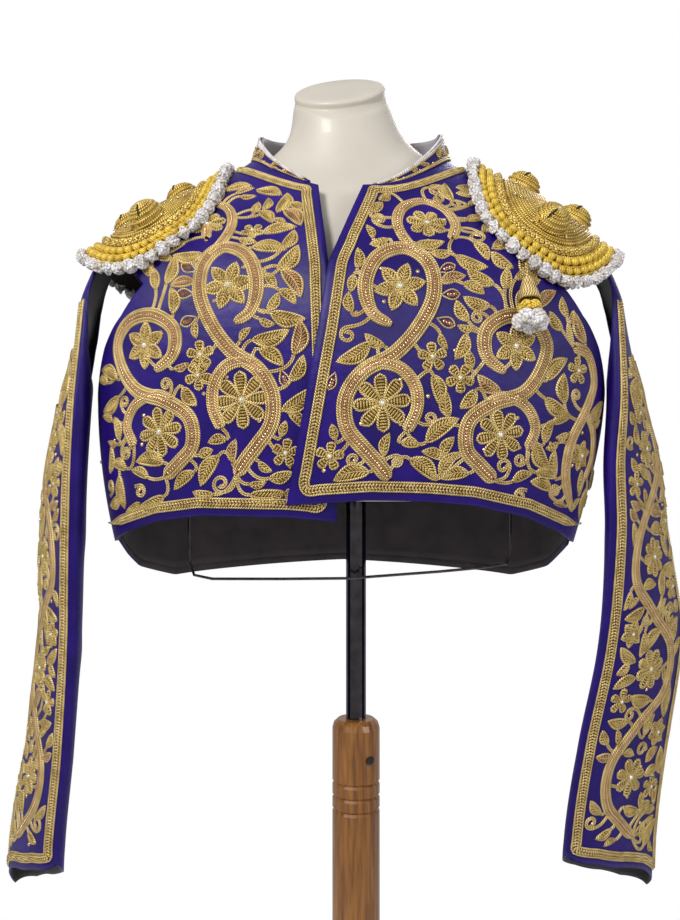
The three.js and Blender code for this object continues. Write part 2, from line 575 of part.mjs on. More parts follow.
// ---------------------------------------------------------------- hombreras (shoulder pieces)
// Local sizes: u along the shoulder line (outward positive), v over the shoulder (front negative),
// h off the plate. The plate is an arch of radius ARCH with its crown on the shoulder line.
const ARCH = 85;
const HALF_U = 89;                           // outline of the white cord, along the shoulder
const REST = CLOTH + 5.2;                    // plate's mid surface above the cloth where it rests
const HOMBRERAS = [
  { name: 'left', side: 1, x: 186, y: 0, z: 1382, slope: 33, roll: -17, half: 116 },
  { name: 'right', side: -1, x: -196, y: 0, z: 1377, slope: 29, roll: 0, half: 110 },
];
const DOMES = [[-30, 0.05], [30, 0.05], [8, -0.5], [8, 0.5]];   // u, and v in half outlines
const DOME_R = 15.5, DOME_HIGH = 21;

function nearestOnBody(p, side) {            // closest point of the body surface near a shoulder
  let best = { d: Infinity, a: 0, l: 0 };
  const look = (a, l) => {
    const d = bodyPoint(a, clamp(l, 4, NECK)).distanceToSquared(p);
    if (d < best.d) best = { d, a, l: clamp(l, 4, NECK) };
  };
  for (let l = 5; l <= 10; l += 0.5) for (let a = 30; a <= 150; a += 10) look(side * a * DEG, l);
  for (let step = 1; step > 0.01; step /= 2) {
    const { a, l } = best;
    for (const i of [-1, 0, 1]) for (const j of [-1, 0, 1]) look(a + i * step * 5 * DEG, l + j * step * 0.25);
  }
  return best;
}

function hombreraPoint(k, u, v, h) {
  const b = k.slope * DEG, t = (v + k.roll) / ARCH;
  const along = V3(k.side * Math.cos(b), 0, -Math.sin(b)), up = V3(k.side * Math.sin(b), 0, Math.cos(b));
  const wide = 97 - 18 * ((u - 8) / 75) ** 2;
  const n = V3(0, Math.sin(t), 0).addScaledVector(up, Math.cos(t));
  const p = V3(k.x, k.y + wide * Math.sin(t), k.z).addScaledVector(along, u)
    .addScaledVector(up, -ARCH * (1 - Math.cos(t)));
  const near = nearestOnBody(p, k.side);     // where it would sink into the jacket it rests on it
  const off = bodyNormal(near.a, near.l);
  const stand = p.clone().sub(bodyPoint(near.a, near.l)).dot(off);
  if (stand < REST) p.addScaledVector(off, REST - stand);
  return p.addScaledVector(n, h);
}

function outline(k, a, inset) {              // [u, v] on the outline moved in by inset
  const c = Math.cos(a), s = Math.sin(a), e = c > 0 ? 2 / 2.9 : 2 / 2.1;
  return [(HALF_U - inset) * power(c, e), (k.half - inset) * power(s, e)];
}

function rimRing(k, profile, steps, scallops, deep) {
  const rings = Array.from({ length: steps }, (_, i) => {
    const a = 2 * Math.PI * i / steps;
    const wave = 1 - deep * (0.5 - 0.5 * Math.cos(scallops * a));
    return profile.map(([inset, h]) => hombreraPoint(k, ...outline(k, a, inset), h < 0 ? h : h * wave));
  });
  return outward(loopSolid(rings, true));
}

function platePiece(k) {
  const edge = 38.6, rimSteps = 24;
  const shells = [];
  for (const h of [4.5, -2.5]) {
    for (const f of [1, 0.55]) {
      shells.push(Array.from({ length: rimSteps }, (_, i) => {
        const [u, v] = outline(k, 2 * Math.PI * i / rimSteps, edge);
        return hombreraPoint(k, u * f, v * f, h > 0 ? h + (f < 1 ? 3 : 0) : h + (f < 1 ? 3 : 0));
      }));
    }
  }
  const [topRim, topMid, lowRim, lowMid] = shells;
  const points = [...topRim, ...topMid, ...lowRim, ...lowMid,
    hombreraPoint(k, 0, 0, 8.5), hombreraPoint(k, 0, 0, 1.5)];
  const n = rimSteps, faces = [];
  for (let i = 0; i < n; i++) {
    const j = (i + 1) % n;
    faces.push([i, j, n + j], [i, n + j, n + i], [n + i, n + j, 4 * n]);
    faces.push([2 * n + i, 3 * n + j, 2 * n + j], [2 * n + i, 3 * n + i, 3 * n + j]);
    faces.push([3 * n + i, 4 * n + 1, 3 * n + j], [i, 2 * n + j, j], [i, 2 * n + i, 2 * n + j]);
  }
  const plate = outward(solid(points, faces));
  const domes = DOMES.map(([u, v]) => {
    const foot = hombreraPoint(k, u, v * k.half, 0), top = hombreraPoint(k, u, v * k.half, 1);
    const g = turned([[0, 0], [DOME_R * 0.94, 0], [DOME_R, 7], [DOME_R * 0.87, 14], [DOME_R * 0.5, 19],
      [0, DOME_HIGH]], 10);
    g.applyQuaternion(new THREE.Quaternion().setFromUnitVectors(V3(0, 0, 1), top.sub(foot).normalize()));
    g.translate(foot.x, foot.y, foot.z);
    return g;
  });
  return fuse([plate, ...domes]);
}

for (const k of HOMBRERAS) {
  piece(`hombrera_${k.name}_plate`, platePiece(k), GOLD_PLATE);
  piece(`hombrera_${k.name}_plait`, rimRing(k,
    [[38.1, -2], [37.6, 5.5], [33, 8], [28, 5.5], [27.4, -2]], 28, 14, 0.1), GOLD_BRAID);
  piece(`hombrera_${k.name}_beads`, rimRing(k,
    [[27.0, -2], [25.5, 5.4], [19, 3.6], [13, 5.6], [11.0, -2]], 36, 18, 0.3), SILK);
  piece(`hombrera_${k.name}_cord`, rimRing(k,
    [[10.6, -1.5], [9.4, 3.6], [5.2, 5.2], [0.8, 3.0], [0, -2.2], [5.2, -4.4]], 36, 18, 0.2), WHITE_CORD);
}

// ---------------------------------------------------------------- braids on the sleeves
function onSleeve(side, rows, deg, z) {
  const step = 2 * Math.PI / SLEEVE_STEPS, at = deg * DEG / step, k = Math.floor(at + 1e-3);
  const corner = (i) => sleevePoint(side, rows, i * step, z, 0);
  const onCorner = Math.abs(at - k) < 2e-3;   // on a facet's edge the normal is shared
  const a = k * step, p = corner(k).lerp(corner(k + 1), onCorner ? 0 : at - k);
  const round = corner(k + 1).sub(corner(onCorner ? k - 1 : k));
  const up = sleevePoint(side, rows, a, z + 4, 0).sub(sleevePoint(side, rows, a, z - 4, 0));
  const n = round.cross(up).normalize();
  if (n.dot(p.clone().sub(V3(sleeveSection(rows, z).x, sleeveSection(rows, z).y, z))) < 0) n.negate();
  return { p, n };
}

const EDGE_TURN = 540 / SLEEVE_STEPS;         // the braid's place, degrees from each fold
function sleeveGalonLine(side, rows) {       // down the front fold, along the cuff, up the back fold
  const cuff = (deg) => lookup(CUFF_CUT.a, CUFF_CUT.z, deg) + GALON_INSET;
  const line = [], low = cuff(EDGE_TURN), high = cuff(180 - EDGE_TURN);
  for (let i = 0; i < 20; i++) line.push(onSleeve(side, rows, EDGE_TURN, mix(1285, low, i / 20)));
  line.push(onSleeve(side, rows, EDGE_TURN, low));
  for (let i = 2; i <= SLEEVE_STEPS / 2 - 2; i++) {
    const deg = 360 * i / SLEEVE_STEPS;
    line.push(onSleeve(side, rows, deg, cuff(deg)));
  }
  for (let i = 0; i <= 12; i++) line.push(onSleeve(side, rows, 180 - EDGE_TURN, mix(high, 1090, i / 12)));
  return line;
}
piece('galon_sleeve_left', band(sleeveGalonLine(1, SLEEVE_LEFT_ARM), GALON_HALF, SLEEVE_LIFT,
  SLEEVE_LIFT + GALON_HIGH), GOLD_BRAID);
piece('galon_sleeve_right', band(sleeveGalonLine(-1, SLEEVE_RIGHT_ARM), GALON_HALF, SLEEVE_LIFT,
  SLEEVE_LIFT + GALON_HIGH), GOLD_BRAID);

// ---------------------------------------------------------------- padded scrolls and flowers
// Each scroll is a line of [x, z] places on the front or back, or [degrees, z] on a sleeve.
function smoothLine(points, steps) {
  const curve = new THREE.CatmullRomCurve3(points.map(([a, b]) => V3(a, b, 0)), false, 'centripetal');
  return curve.getSpacedPoints(steps).map((q) => [q.x, q.y]);
}

function onPanelXZ(side, back, x, z) {       // place on a front (side) or on the back
  let level = 4, angle = 0;
  for (let i = 0; i < 12; i++) {
    angle = angleAtX(level, x);
    if (back) angle = Math.PI - angle;
    level = mix(level, levelAtHeight(angle, z), 0.8);
  }
  return onBody(back ? -1 : side, angle, level);
}

const SCROLLS = {
  front_left_inner: [[28, 1252], [12, 1262], [6, 1288], [18, 1314], [42, 1322], [62, 1308],
    [66, 1280], [52, 1250], [30, 1226], [4, 1211], [-11, 1189], [-10, 1163], [4, 1145], [16, 1132],
    [24, 1123]],
  front_left_outer: [[128, 1212], [112, 1226], [112, 1248], [132, 1262], [156, 1258], [168, 1238],
    [162, 1214], [146, 1194], [118, 1184], [96, 1168], [94, 1144], [106, 1130], [118, 1121]],
};
for (const key of Object.keys(SCROLLS)) {    // the other front mirrors them
  SCROLLS[key.replace('left', 'right')] = SCROLLS[key].map(([x, z]) => [x > 80 ? -x - 52 : -0.85 * x - 84, z + 3]);
}
const BACK_SCROLLS = {
  back_left: [[96, 1270], [82, 1290], [92, 1312], [116, 1316], [132, 1296], [126, 1266], [100, 1236],
    [70, 1214], [52, 1184], [56, 1146], [84, 1116], [104, 1090], [112, 1060]],
  back_middle: [[-2, 1378], [-26, 1366], [-34, 1340], [-20, 1312], [6, 1290], [20, 1258], [6, 1224],
    [-22, 1198], [-32, 1162], [-14, 1126], [0, 1096], [0, 1062]],
};
BACK_SCROLLS.back_right = BACK_SCROLLS.back_left.map(([x, z]) => [-x - 10, z]);
const SLEEVE_SCROLL = [[82, 1188], [104, 1176], [112, 1140], [88, 1100], [62, 1060], [58, 1020],
  [86, 985], [114, 950], [116, 910], [88, 875], [62, 840], [64, 800], [86, 774], [98, 758]];

for (const [name, points] of Object.entries(SCROLLS)) {
  const line = smoothLine(points, 24).map(([x, z]) => onPanelXZ(name.includes('left') ? 1 : -1, false, x, z));
  piece(`scroll_${name}`, band(line, SCROLL_HALF, SCROLL_LIFT, SCROLL_LIFT + SCROLL_HIGH, 0.12), GOLD_SCROLL);
}
for (const [name, points] of Object.entries(BACK_SCROLLS)) {
  const line = smoothLine(points, 22).map(([x, z]) => onPanelXZ(-1, true, x, z));
  piece(`scroll_${name}`, band(line, SCROLL_HALF, SCROLL_LIFT, SCROLL_LIFT + SCROLL_HIGH, 0.12), GOLD_SCROLL);
}
for (const [name, side, rows] of [['left', 1, SLEEVE_LEFT_ARM], ['right', -1, SLEEVE_RIGHT_ARM]]) {
  const line = smoothLine(SLEEVE_SCROLL, 30).map(([deg, z]) => onSleeve(side, rows, deg, z));
  piece(`scroll_sleeve_${name}`, band(line, SCROLL_HALF * 0.8, SLEEVE_LIFT,
    SLEEVE_LIFT + SCROLL_HIGH, 0.1), GOLD_SCROLL);
}

// ---------------------------------------------------------------- tassel of the left hombrera
const TASSEL = { x: 150, y: -115, top: 1296, cone: 24, conePlus: 10, neck: 15.2, tilt: -22 * DEG };
const tassel = new THREE.Group();             // hangs from its top, leaning off the front
tassel.position.set(TASSEL.x, TASSEL.y, TASSEL.top);
tassel.rotation.x = TASSEL.tilt;
jacket.add(tassel);
const cone = turned([[0, 0], [TASSEL.conePlus, 0], [TASSEL.conePlus, 4], [6, TASSEL.cone - 4],
  [3.2, TASSEL.cone], [1.8, TASSEL.cone + 1], [1.8, TASSEL.cone + TASSEL.neck],
  [0, TASSEL.cone + TASSEL.neck]], 12);
cone.translate(0, 0, -TASSEL.cone);
piece('tassel_cone', cone, GOLD_BRAID, tassel);

function knots(count, ring, r, z, wide) {
  const list = Array.from({ length: count }, (_, i) => {
    const a = 2 * Math.PI * (i + 0.5) / count;
    const g = new THREE.SphereGeometry(r, wide, 4);
    g.translate(ring * Math.sin(a), -ring * 0.8 * Math.cos(a), z);
    return g;
  });
  return fuse(list);
}
piece('tassel_knots', knots(5, 6.2, 5.4, -TASSEL.cone - 5.8, 8), SILK, tassel);
piece('tassel_pompoms', knots(5, 9, 8.4, -TASSEL.cone - 19, 8), WHITE_CORD, tassel);

export default jacketOnStand;
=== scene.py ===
# %% [markdown]
# # A picador's jacket on its display form
#
# A picador's jacket is short, stiff and heavily embroidered: purple satin over canvas, flattened
# sleeves sewn on only at the shoulder, a small stand collar and two padded shoulder pieces
# (hombreras) of gold thread, silk beads and white cord. It stands on a white limbless form, a dark
# chrome tube and a turned wooden post. Every length below is in millimetres until it becomes a mesh.

# %% Load the frame
import math

import bpy
import numpy as np
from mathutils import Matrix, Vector


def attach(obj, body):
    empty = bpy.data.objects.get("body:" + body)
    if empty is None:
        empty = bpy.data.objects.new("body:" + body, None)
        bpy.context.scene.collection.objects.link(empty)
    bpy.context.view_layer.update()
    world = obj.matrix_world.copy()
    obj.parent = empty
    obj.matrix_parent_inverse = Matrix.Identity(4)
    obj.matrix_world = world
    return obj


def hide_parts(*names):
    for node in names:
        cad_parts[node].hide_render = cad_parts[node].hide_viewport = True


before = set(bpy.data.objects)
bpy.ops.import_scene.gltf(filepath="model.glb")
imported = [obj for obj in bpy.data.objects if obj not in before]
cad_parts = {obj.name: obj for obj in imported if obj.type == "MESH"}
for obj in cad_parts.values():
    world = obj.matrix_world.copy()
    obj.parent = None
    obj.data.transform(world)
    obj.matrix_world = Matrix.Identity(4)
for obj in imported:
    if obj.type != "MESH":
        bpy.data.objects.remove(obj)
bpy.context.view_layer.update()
MM = 0.001
print("frame nodes:", len(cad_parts))

# %% [markdown]
# ## The body surface
# All the cloth follows one surface: a stack of oval rings from below the hem to the neckline. Each
# ring row is: height in front, at the side and at the back, half width, depth to the front, depth to
# the back, roundness, and centre x. A smooth curve through the rows gives any ring in between. It is
# worked out for whole arrays of points at once, because an embroidered panel has many thousands.

# %% The body surface
RINGS = np.array([
    [1000, 1000, 1000, 208, 112, 106, 2.3, -13], [1050, 1050, 1050, 222, 126, 114, 2.3, -12],
    [1100, 1100, 1100, 234, 134, 119, 2.3, -10], [1150, 1150, 1150, 243, 138, 121, 2.3, -7],
    [1200, 1200, 1200, 247, 138, 122, 2.3, -5], [1250, 1250, 1250, 246, 134, 122, 2.3, -5],
    [1288, 1294, 1300, 240, 127, 121, 2.3, -5], [1318, 1335, 1345, 226, 117, 114, 2.3, -5],
    [1340, 1366, 1380, 184, 108, 100, 2.2, -5], [1361, 1398, 1411, 141, 98, 84, 2.1, -5],
    [1381, 1429, 1437, 97, 88, 64, 2.0, -5]], float)
FORM_RINGS = np.array([
    [1098, 1098, 1098, 214, 112, 98, 2.3, -11], [1150, 1150, 1150, 228, 120, 104, 2.3, -9],
    [1205, 1205, 1205, 230, 121, 106, 2.3, -7], [1255, 1255, 1255, 224, 117, 106, 2.3, -6],
    [1294, 1290, 1296, 212, 111, 104, 2.3, -5], [1318, 1322, 1334, 198, 105, 98, 2.3, -5],
    [1338, 1356, 1372, 172, 98, 88, 2.2, -5], [1357, 1398, 1404, 140, 90, 74, 2.1, -5],
    [1378, 1426, 1431, 92, 79, 56, 2.0, -6], [1404, 1443, 1449, 68, 62, 52, 2.0, -8],
    [1436, 1460, 1466, 56, 52, 49, 2.0, -10], [1462, 1486, 1500, 48, 47, 47, 2.0, -14]], float)
DEG = math.pi / 180
CLOTH, SEAM, LAP = 2.2, 0.34, 5.4   # thickness of the cloth, gap at a seam, lift of the lapping front
NECK = 10.0                         # level of the neckline, counted in rows of RINGS


def smooth_rows(rows, level):
    """Rows of a table at fractional row numbers, on a smooth curve through them."""
    last = len(rows) - 1
    i = np.clip(np.floor(level).astype(int), 0, last - 1)
    t = (level - i)[..., None]
    row = lambda k: rows[np.clip(k, 0, last)]
    m0 = (row(i + 1) - row(i - 1)) / np.where(i == 0, 1, 2)[..., None]
    m1 = (row(i + 2) - row(i)) / np.where(i + 2 > last, 1, 2)[..., None]
    t2, t3 = t * t, t * t * t
    return ((2 * t3 - 3 * t2 + 1) * row(i) + (t3 - 2 * t2 + t) * m0
            + (3 * t2 - 2 * t3) * row(i + 1) + (t3 - t2) * m1)


def power(v, e):
    return np.sign(v) * np.abs(v) ** e


def unit(v):
    return v / np.maximum(np.linalg.norm(v, axis=-1, keepdims=True), 1e-12)


def ease(t):
    t = np.clip(t, 0, 1)
    return t * t * (3 - 2 * t)


def ring_point(rows, angle, level):
    angle, level = np.broadcast_arrays(np.asarray(angle, float), np.asarray(level, float))
    front, side, back, w, f, b, n, x = np.moveaxis(smooth_rows(rows, level), -1, 0)
    s, c, e = np.sin(angle), np.cos(angle), 2 / n
    z = side + (np.where(c > 0, front, back) - side) * c * c
    return np.stack([x + w * power(s, e), -np.where(c > 0, f, b) * power(c, e), z], -1)


def body(angle, level):
    return ring_point(RINGS, angle, level)


def body_normal(angle, level):
    a = body(angle + 0.012, level) - body(angle - 0.012, level)
    u = body(angle, level + 0.03) - body(angle, level - 0.03)
    return unit(np.cross(a, u))


def angle_at_x(level, x):
    row = smooth_rows(RINGS, np.asarray(level, float))
    r = np.clip((x - row[..., 7]) / row[..., 3], -1, 1)
    return np.arcsin(power(r, row[..., 6] / 2))


def level_at_height(angle, z):
    angle, z = np.broadcast_arrays(np.asarray(angle, float), np.asarray(z, float))
    low, high = np.zeros(angle.shape), np.full(angle.shape, NECK)
    for _ in range(22):
        mid = (low + high) / 2
        below = body(angle, mid)[..., 2] < z
        low, high = np.where(below, mid, low), np.where(below, high, mid)
    return (low + high) / 2


print("chest half width:", ring_point(RINGS, math.pi / 2, 4.0)[0])

# %% [markdown]
# ## Creases
# The jacket is stiff, so it has no deep folds. What it has are soft swellings where the satin is a
# little too large for the canvas: along the side under the arm, from the armhole towards the chest,
# over the shoulder blades and just above the hem. Each is listed as a line with a width and a
# height, and the surface rises by a smooth hump along it.

# %% Creases
FOLDS = {   # x, z of both ends, half width, height
    "left": [
        (196, 1085, 205, 1185, 13, 1.3), (172, 1078, 186, 1180, 9, -0.3), (182, 1265, 120, 1292, 12, 1.1),
        (150, 1225, 214, 1262, 10, 1.0), (60, 1128, 150, 1108, 9, 0.9), (40, 1335, 72, 1250, 11, 0.7),
        (100, 1345, 160, 1300, 9, 0.9)],
    "right": [
        (-204, 1085, -214, 1180, 13, 1.3), (-180, 1075, -196, 1170, 9, -0.3), (-190, 1262, -128, 1290, 12, 1.1),
        (-160, 1226, -222, 1258, 10, 1.0), (-60, 1122, -150, 1100, 9, 0.9), (-60, 1330, -84, 1246, 11, 0.7),
        (-110, 1342, -168, 1298, 9, 0.9)],
    "back": [
        (-180, 1060, -196, 1200, 15, 1.3), (170, 1060, 186, 1200, 15, 1.3), (-90, 1330, -40, 1260, 16, 1.1),
        (82, 1330, 30, 1255, 16, 1.1), (-130, 1100, -20, 1120, 13, 1.0), (20, 1085, 130, 1105, 12, 1.0),
        (-8, 1240, -4, 1380, 10, 0.6)],
}


def swell(points, folds):
    """How far the cloth rises at each point, from the listed creases."""
    x, z, up = points[..., 0], points[..., 2], 0.0
    for x0, z0, x1, z1, width, height in folds:
        dx, dz = x1 - x0, z1 - z0
        t = np.clip(((x - x0) * dx + (z - z0) * dz) / (dx * dx + dz * dz), 0, 1)
        d = np.hypot(x - x0 - t * dx, z - z0 - t * dz)
        fade = 0.35 + 0.65 * np.sin(math.pi * np.clip(t, 0.08, 0.92))   # lower towards both ends
        up = up + height * np.exp(-(d / width) ** 2) * fade
    return up


# %% [markdown]
# ## Making meshes
# A panel is two skins, the outside and the lining side, joined by a narrow wall at the cut edge. The
# faces of the lining side take a material of their own, and the wall takes the outside's. A map laid over the panel
# in metres lets the weave and the stripes keep their real size.

# %% Making meshes
def faces_of(*shape, ring=False):
    """Four-cornered faces of a grid of points; ring closes every row into a loop."""
    ids = np.arange(math.prod(shape)).reshape(shape)
    if ring:
        ids = np.concatenate([ids, ids[..., :1]], -1)
    return np.stack([ids[..., :-1, :-1], ids[..., :-1, 1:], ids[..., 1:, 1:], ids[..., 1:, :-1]], -1)


def lengths_along(points):
    """Length up to each point of a line, or of every row of a grid of points."""
    steps = np.linalg.norm(np.diff(points, axis=-2), axis=-1)
    return np.concatenate([np.zeros(steps.shape[:-1] + (1,)), np.cumsum(steps, -1)], -1)


def link(name, mesh, node_names=()):
    piece = bpy.data.objects.new(name, mesh)
    bpy.context.scene.collection.objects.link(piece)
    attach(piece, "root")
    if node_names:
        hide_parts(*node_names)
    return piece


def mesh_of(name, points, quads, tris=(), uv=None, quad_mat=None, tri_mat=None, materials=(), smooth=True):
    """A mesh from arrays: points in millimetres, faces by point number, uv by point."""
    quads, tris = np.asarray(quads, int).reshape(-1, 4), np.asarray(tris, int).reshape(-1, 3)
    mesh = bpy.data.meshes.new(name)
    loops = np.concatenate([quads.ravel(), tris.ravel()])
    mesh.vertices.add(len(points))
    mesh.vertices.foreach_set("co", (np.asarray(points) * MM).astype(np.float32).ravel())
    mesh.loops.add(len(loops))
    mesh.loops.foreach_set("vertex_index", loops.astype(np.int32))
    total = len(quads) + len(tris)
    mesh.polygons.add(total)
    starts = np.concatenate([np.arange(len(quads)) * 4, len(quads) * 4 + np.arange(len(tris)) * 3])
    mesh.polygons.foreach_set("loop_start", starts.astype(np.int32))
    mesh.polygons.foreach_set("use_smooth", np.full(total, smooth))
    for m in materials:
        mesh.materials.append(m)
    if quad_mat is not None or tri_mat is not None:
        a = np.zeros(len(quads), int) if quad_mat is None else np.asarray(quad_mat)
        b = np.zeros(len(tris), int) if tri_mat is None else np.asarray(tri_mat)
        mesh.polygons.foreach_set("material_index", np.concatenate([a, b]).astype(np.int32))
    if uv is not None:
        layer = mesh.uv_layers.new(name="cloth")
        layer.data.foreach_set("uv", np.asarray(uv, np.float32)[loops].ravel())
    mesh.update(calc_edges=True)
    mesh.validate()
    return mesh


def shell(name, outer, inner, uv, materials, closed=False):
    """Outer and inner grids of points [row][column], with walls; materials: outside, inside."""
    rows, cols = outer.shape[:2]
    grid = np.arange(rows * cols).reshape(rows, cols)
    if closed:
        grid = np.concatenate([grid, grid[:, :1]], 1)
    face = faces_of(rows, cols, ring=closed).reshape(-1, 4)
    n = rows * cols
    walls = [np.stack([grid[0, :-1], grid[0, :-1] + n, grid[0, 1:] + n, grid[0, 1:]], -1),
             np.stack([grid[-1, 1:], grid[-1, 1:] + n, grid[-1, :-1] + n, grid[-1, :-1]], -1)]
    if not closed:
        walls += [np.stack([grid[1:, 0], grid[1:, 0] + n, grid[:-1, 0] + n, grid[:-1, 0]], -1),
                  np.stack([grid[:-1, -1], grid[:-1, -1] + n, grid[1:, -1] + n, grid[1:, -1]], -1)]
    walls = np.concatenate(walls)
    quads = np.concatenate([face, face[:, ::-1] + n, walls])
    mat = np.concatenate([np.zeros(len(face)), np.ones(len(face)), np.zeros(len(walls))])
    points = np.concatenate([outer.reshape(-1, 3), inner.reshape(-1, 3)])
    low, high = points[quads[:, 0]], points[quads[:, 2]]
    volume = np.einsum("ij,ij->i", low, np.cross(points[quads[:, 1]], high)).sum()
    if volume < 0:
        quads = quads[:, ::-1]
    uv2 = np.concatenate([uv.reshape(-1, 2), uv.reshape(-1, 2)])
    return mesh_of(name, points, quads, uv=uv2, quad_mat=mat, materials=materials)


def cloth(name, outer, inner, uv, materials, closed=False):
    """One cloth piece: its two skins, and the node it replaces."""
    piece = link(name, shell(name, outer, inner, uv, materials, closed), [name.rsplit("_", 1)[0]])


# %% [markdown]
# ## Camera, light and floor
# The jacket is seen from the front at chest height, in a bright even light: a large soft light from
# the upper left, a weaker one from the right, and a white surround that fills the shade.

# %% Camera, light and floor
scene = bpy.context.scene
camera = bpy.data.objects.new("camera", bpy.data.cameras.new("camera"))
scene.collection.objects.link(camera)
camera.location = (-0.016, -1.0, 1.135)
camera.rotation_euler = (math.pi / 2, 0, 0)
camera.data.sensor_width, camera.data.lens = 36, 39.13
camera.data.clip_start = 0.02
scene.camera = camera
scene.view_settings.view_transform = "Standard"


def soft_light(name, place, target, size, watts, colour=(1, 1, 1)):
    data = bpy.data.lights.new(name, "AREA")
    data.shape, data.size, data.energy, data.color = "SQUARE", size, watts, colour
    lamp = bpy.data.objects.new(name, data)
    scene.collection.objects.link(lamp)
    lamp.location = place
    lamp.rotation_euler = (Vector(target) - Vector(place)).to_track_quat("-Z", "Y").to_euler()
    return lamp


soft_light("key", (-1.1, -1.5, 2.4), (0, 0, 1.2), 0.6, 34, (1.0, 0.98, 0.94))
soft_light("fill", (1.5, -1.3, 1.7), (0, 0, 1.15), 0.7, 9, (1.0, 0.98, 0.96))
soft_light("rim", (0.6, 1.4, 2.2), (0, 0, 1.3), 0.8, 10)
world = bpy.data.worlds.new("white room")
scene.world = world
world.use_nodes = True
tree = world.node_tree
room_light = tree.nodes["Background"]
room_light.inputs["Color"].default_value = (0.98, 0.97, 0.98, 1)
room_light.inputs["Strength"].default_value = 0.44
seen = tree.nodes.new("ShaderNodeBackground")
seen.inputs["Color"].default_value = (1, 1, 1, 1)
blend = tree.nodes.new("ShaderNodeMixShader")
path = tree.nodes.new("ShaderNodeLightPath")
tree.links.new(path.outputs["Is Camera Ray"], blend.inputs[0])
tree.links.new(room_light.outputs[0], blend.inputs[1])
tree.links.new(seen.outputs[0], blend.inputs[2])
tree.links.new(blend.outputs[0], tree.nodes["World Output"].inputs["Surface"])

FLOOR = 1100.0   # half its width
corners = [[-FLOOR, -FLOOR, 0], [FLOOR, -FLOOR, 0], [FLOOR, FLOOR, 0], [-FLOOR, FLOOR, 0]]
floor_mesh = mesh_of("floor", np.array(corners), [[0, 1, 2, 3]])
floor = bpy.data.objects.new("floor", floor_mesh)
scene.collection.objects.link(floor)
print("camera at", tuple(round(v, 3) for v in camera.location))

# %% [markdown]
# ## Repeated effects
# Thread, weave and wear recur on many surfaces, so each is a node group made once. "Twisted thread"
# draws the slanting turns of a cord or of purl wire along its own map, "Weave" the fine crossing of
# satin or lining, and "Uneven" the slow change of tone that cloth, metal thread and wood all have.
# The grooves of the first two are where the materials paint shade.

# %% Repeated effects
def node_group(name, inputs, outputs):
    group = bpy.data.node_groups.new(name, "ShaderNodeTree")
    for label, kind, value in inputs:
        s = group.interface.new_socket(label, in_out="INPUT", socket_type=kind)
        if value is not None:
            s.default_value = value
    for label, kind in outputs:
        group.interface.new_socket(label, in_out="OUTPUT", socket_type=kind)
    return group, group.nodes.new("NodeGroupInput"), group.nodes.new("NodeGroupOutput")


def maths(tree, operation, a, b=None, c=None):
    node = tree.nodes.new("ShaderNodeMath")
    node.operation = operation
    for k, value in enumerate((a, b, c)):
        if value is None:
            continue
        if isinstance(value, (int, float)):
            node.inputs[k].default_value = value
        else:
            tree.links.new(value, node.inputs[k])
    return node.outputs[0]


F, V, C = "NodeSocketFloat", "NodeSocketVector", "NodeSocketColor"
thread_group, gi, go = node_group(
    "Twisted thread", [("Map", V, None), ("Turns per mm", F, 0.5), ("Slant", F, 1.0)],
    [("Bump Height", F), ("Groove shade", F)])
split = thread_group.nodes.new("ShaderNodeSeparateXYZ")
thread_group.links.new(gi.outputs["Map"], split.inputs[0])
turn = maths(thread_group, "MULTIPLY", split.outputs[0], gi.outputs["Turns per mm"])
turn = maths(thread_group, "MULTIPLY_ADD", split.outputs[1], gi.outputs["Slant"], turn)
wave = maths(thread_group, "SINE", maths(thread_group, "MULTIPLY", turn, 2 * math.pi))
lift = maths(thread_group, "MULTIPLY_ADD", wave, 0.5, 0.5)
round_lift = maths(thread_group, "POWER", lift, 0.6)
thread_group.links.new(round_lift, go.inputs["Bump Height"])
thread_group.links.new(maths(thread_group, "SUBTRACT", 1.0, round_lift), go.inputs["Groove shade"])

weave_group, gi, go = node_group(
    "Weave", [("Map", V, None), ("Threads per mm", F, 3.0), ("Long floats", F, 4.0)],
    [("Bump Height", F), ("Groove shade", F)])
split = weave_group.nodes.new("ShaderNodeSeparateXYZ")
weave_group.links.new(gi.outputs["Map"], split.inputs[0])
across = maths(weave_group, "MULTIPLY", split.outputs[0], gi.outputs["Threads per mm"])
along = maths(weave_group, "DIVIDE", maths(weave_group, "MULTIPLY", split.outputs[1], gi.outputs["Threads per mm"]),
              gi.outputs["Long floats"])
a = maths(weave_group, "SINE", maths(weave_group, "MULTIPLY", across, 2 * math.pi))
b = maths(weave_group, "SINE", maths(weave_group, "MULTIPLY", maths(weave_group, "ADD", along, maths(
    weave_group, "MULTIPLY", maths(weave_group, "FLOOR", across), 0.382)), 2 * math.pi))
height = maths(weave_group, "MULTIPLY_ADD", a, 0.32, maths(weave_group, "MULTIPLY_ADD", b, 0.18, 0.5))
weave_group.links.new(height, go.inputs["Bump Height"])
weave_group.links.new(maths(weave_group, "SUBTRACT", 1.0, height), go.inputs["Groove shade"])

uneven_group, gi, go = node_group("Uneven", [("Size mm", F, 20.0), ("Seed", F, 0.0)], [("Bump Height", F)])
coord = uneven_group.nodes.new("ShaderNodeTexCoord")
noise = uneven_group.nodes.new("ShaderNodeTexNoise")
noise.noise_dimensions = "4D"
noise.inputs["Detail"].default_value = 4
uneven_group.links.new(coord.outputs["Object"], noise.inputs["Vector"])
uneven_group.links.new(gi.outputs["Seed"], noise.inputs["W"])
uneven_group.links.new(maths(uneven_group, "DIVIDE", 1000.0, gi.outputs["Size mm"]), noise.inputs["Scale"])
uneven_group.links.new(noise.outputs["Fac"], go.inputs["Bump Height"])
print("node groups:", [g.name for g in bpy.data.node_groups])
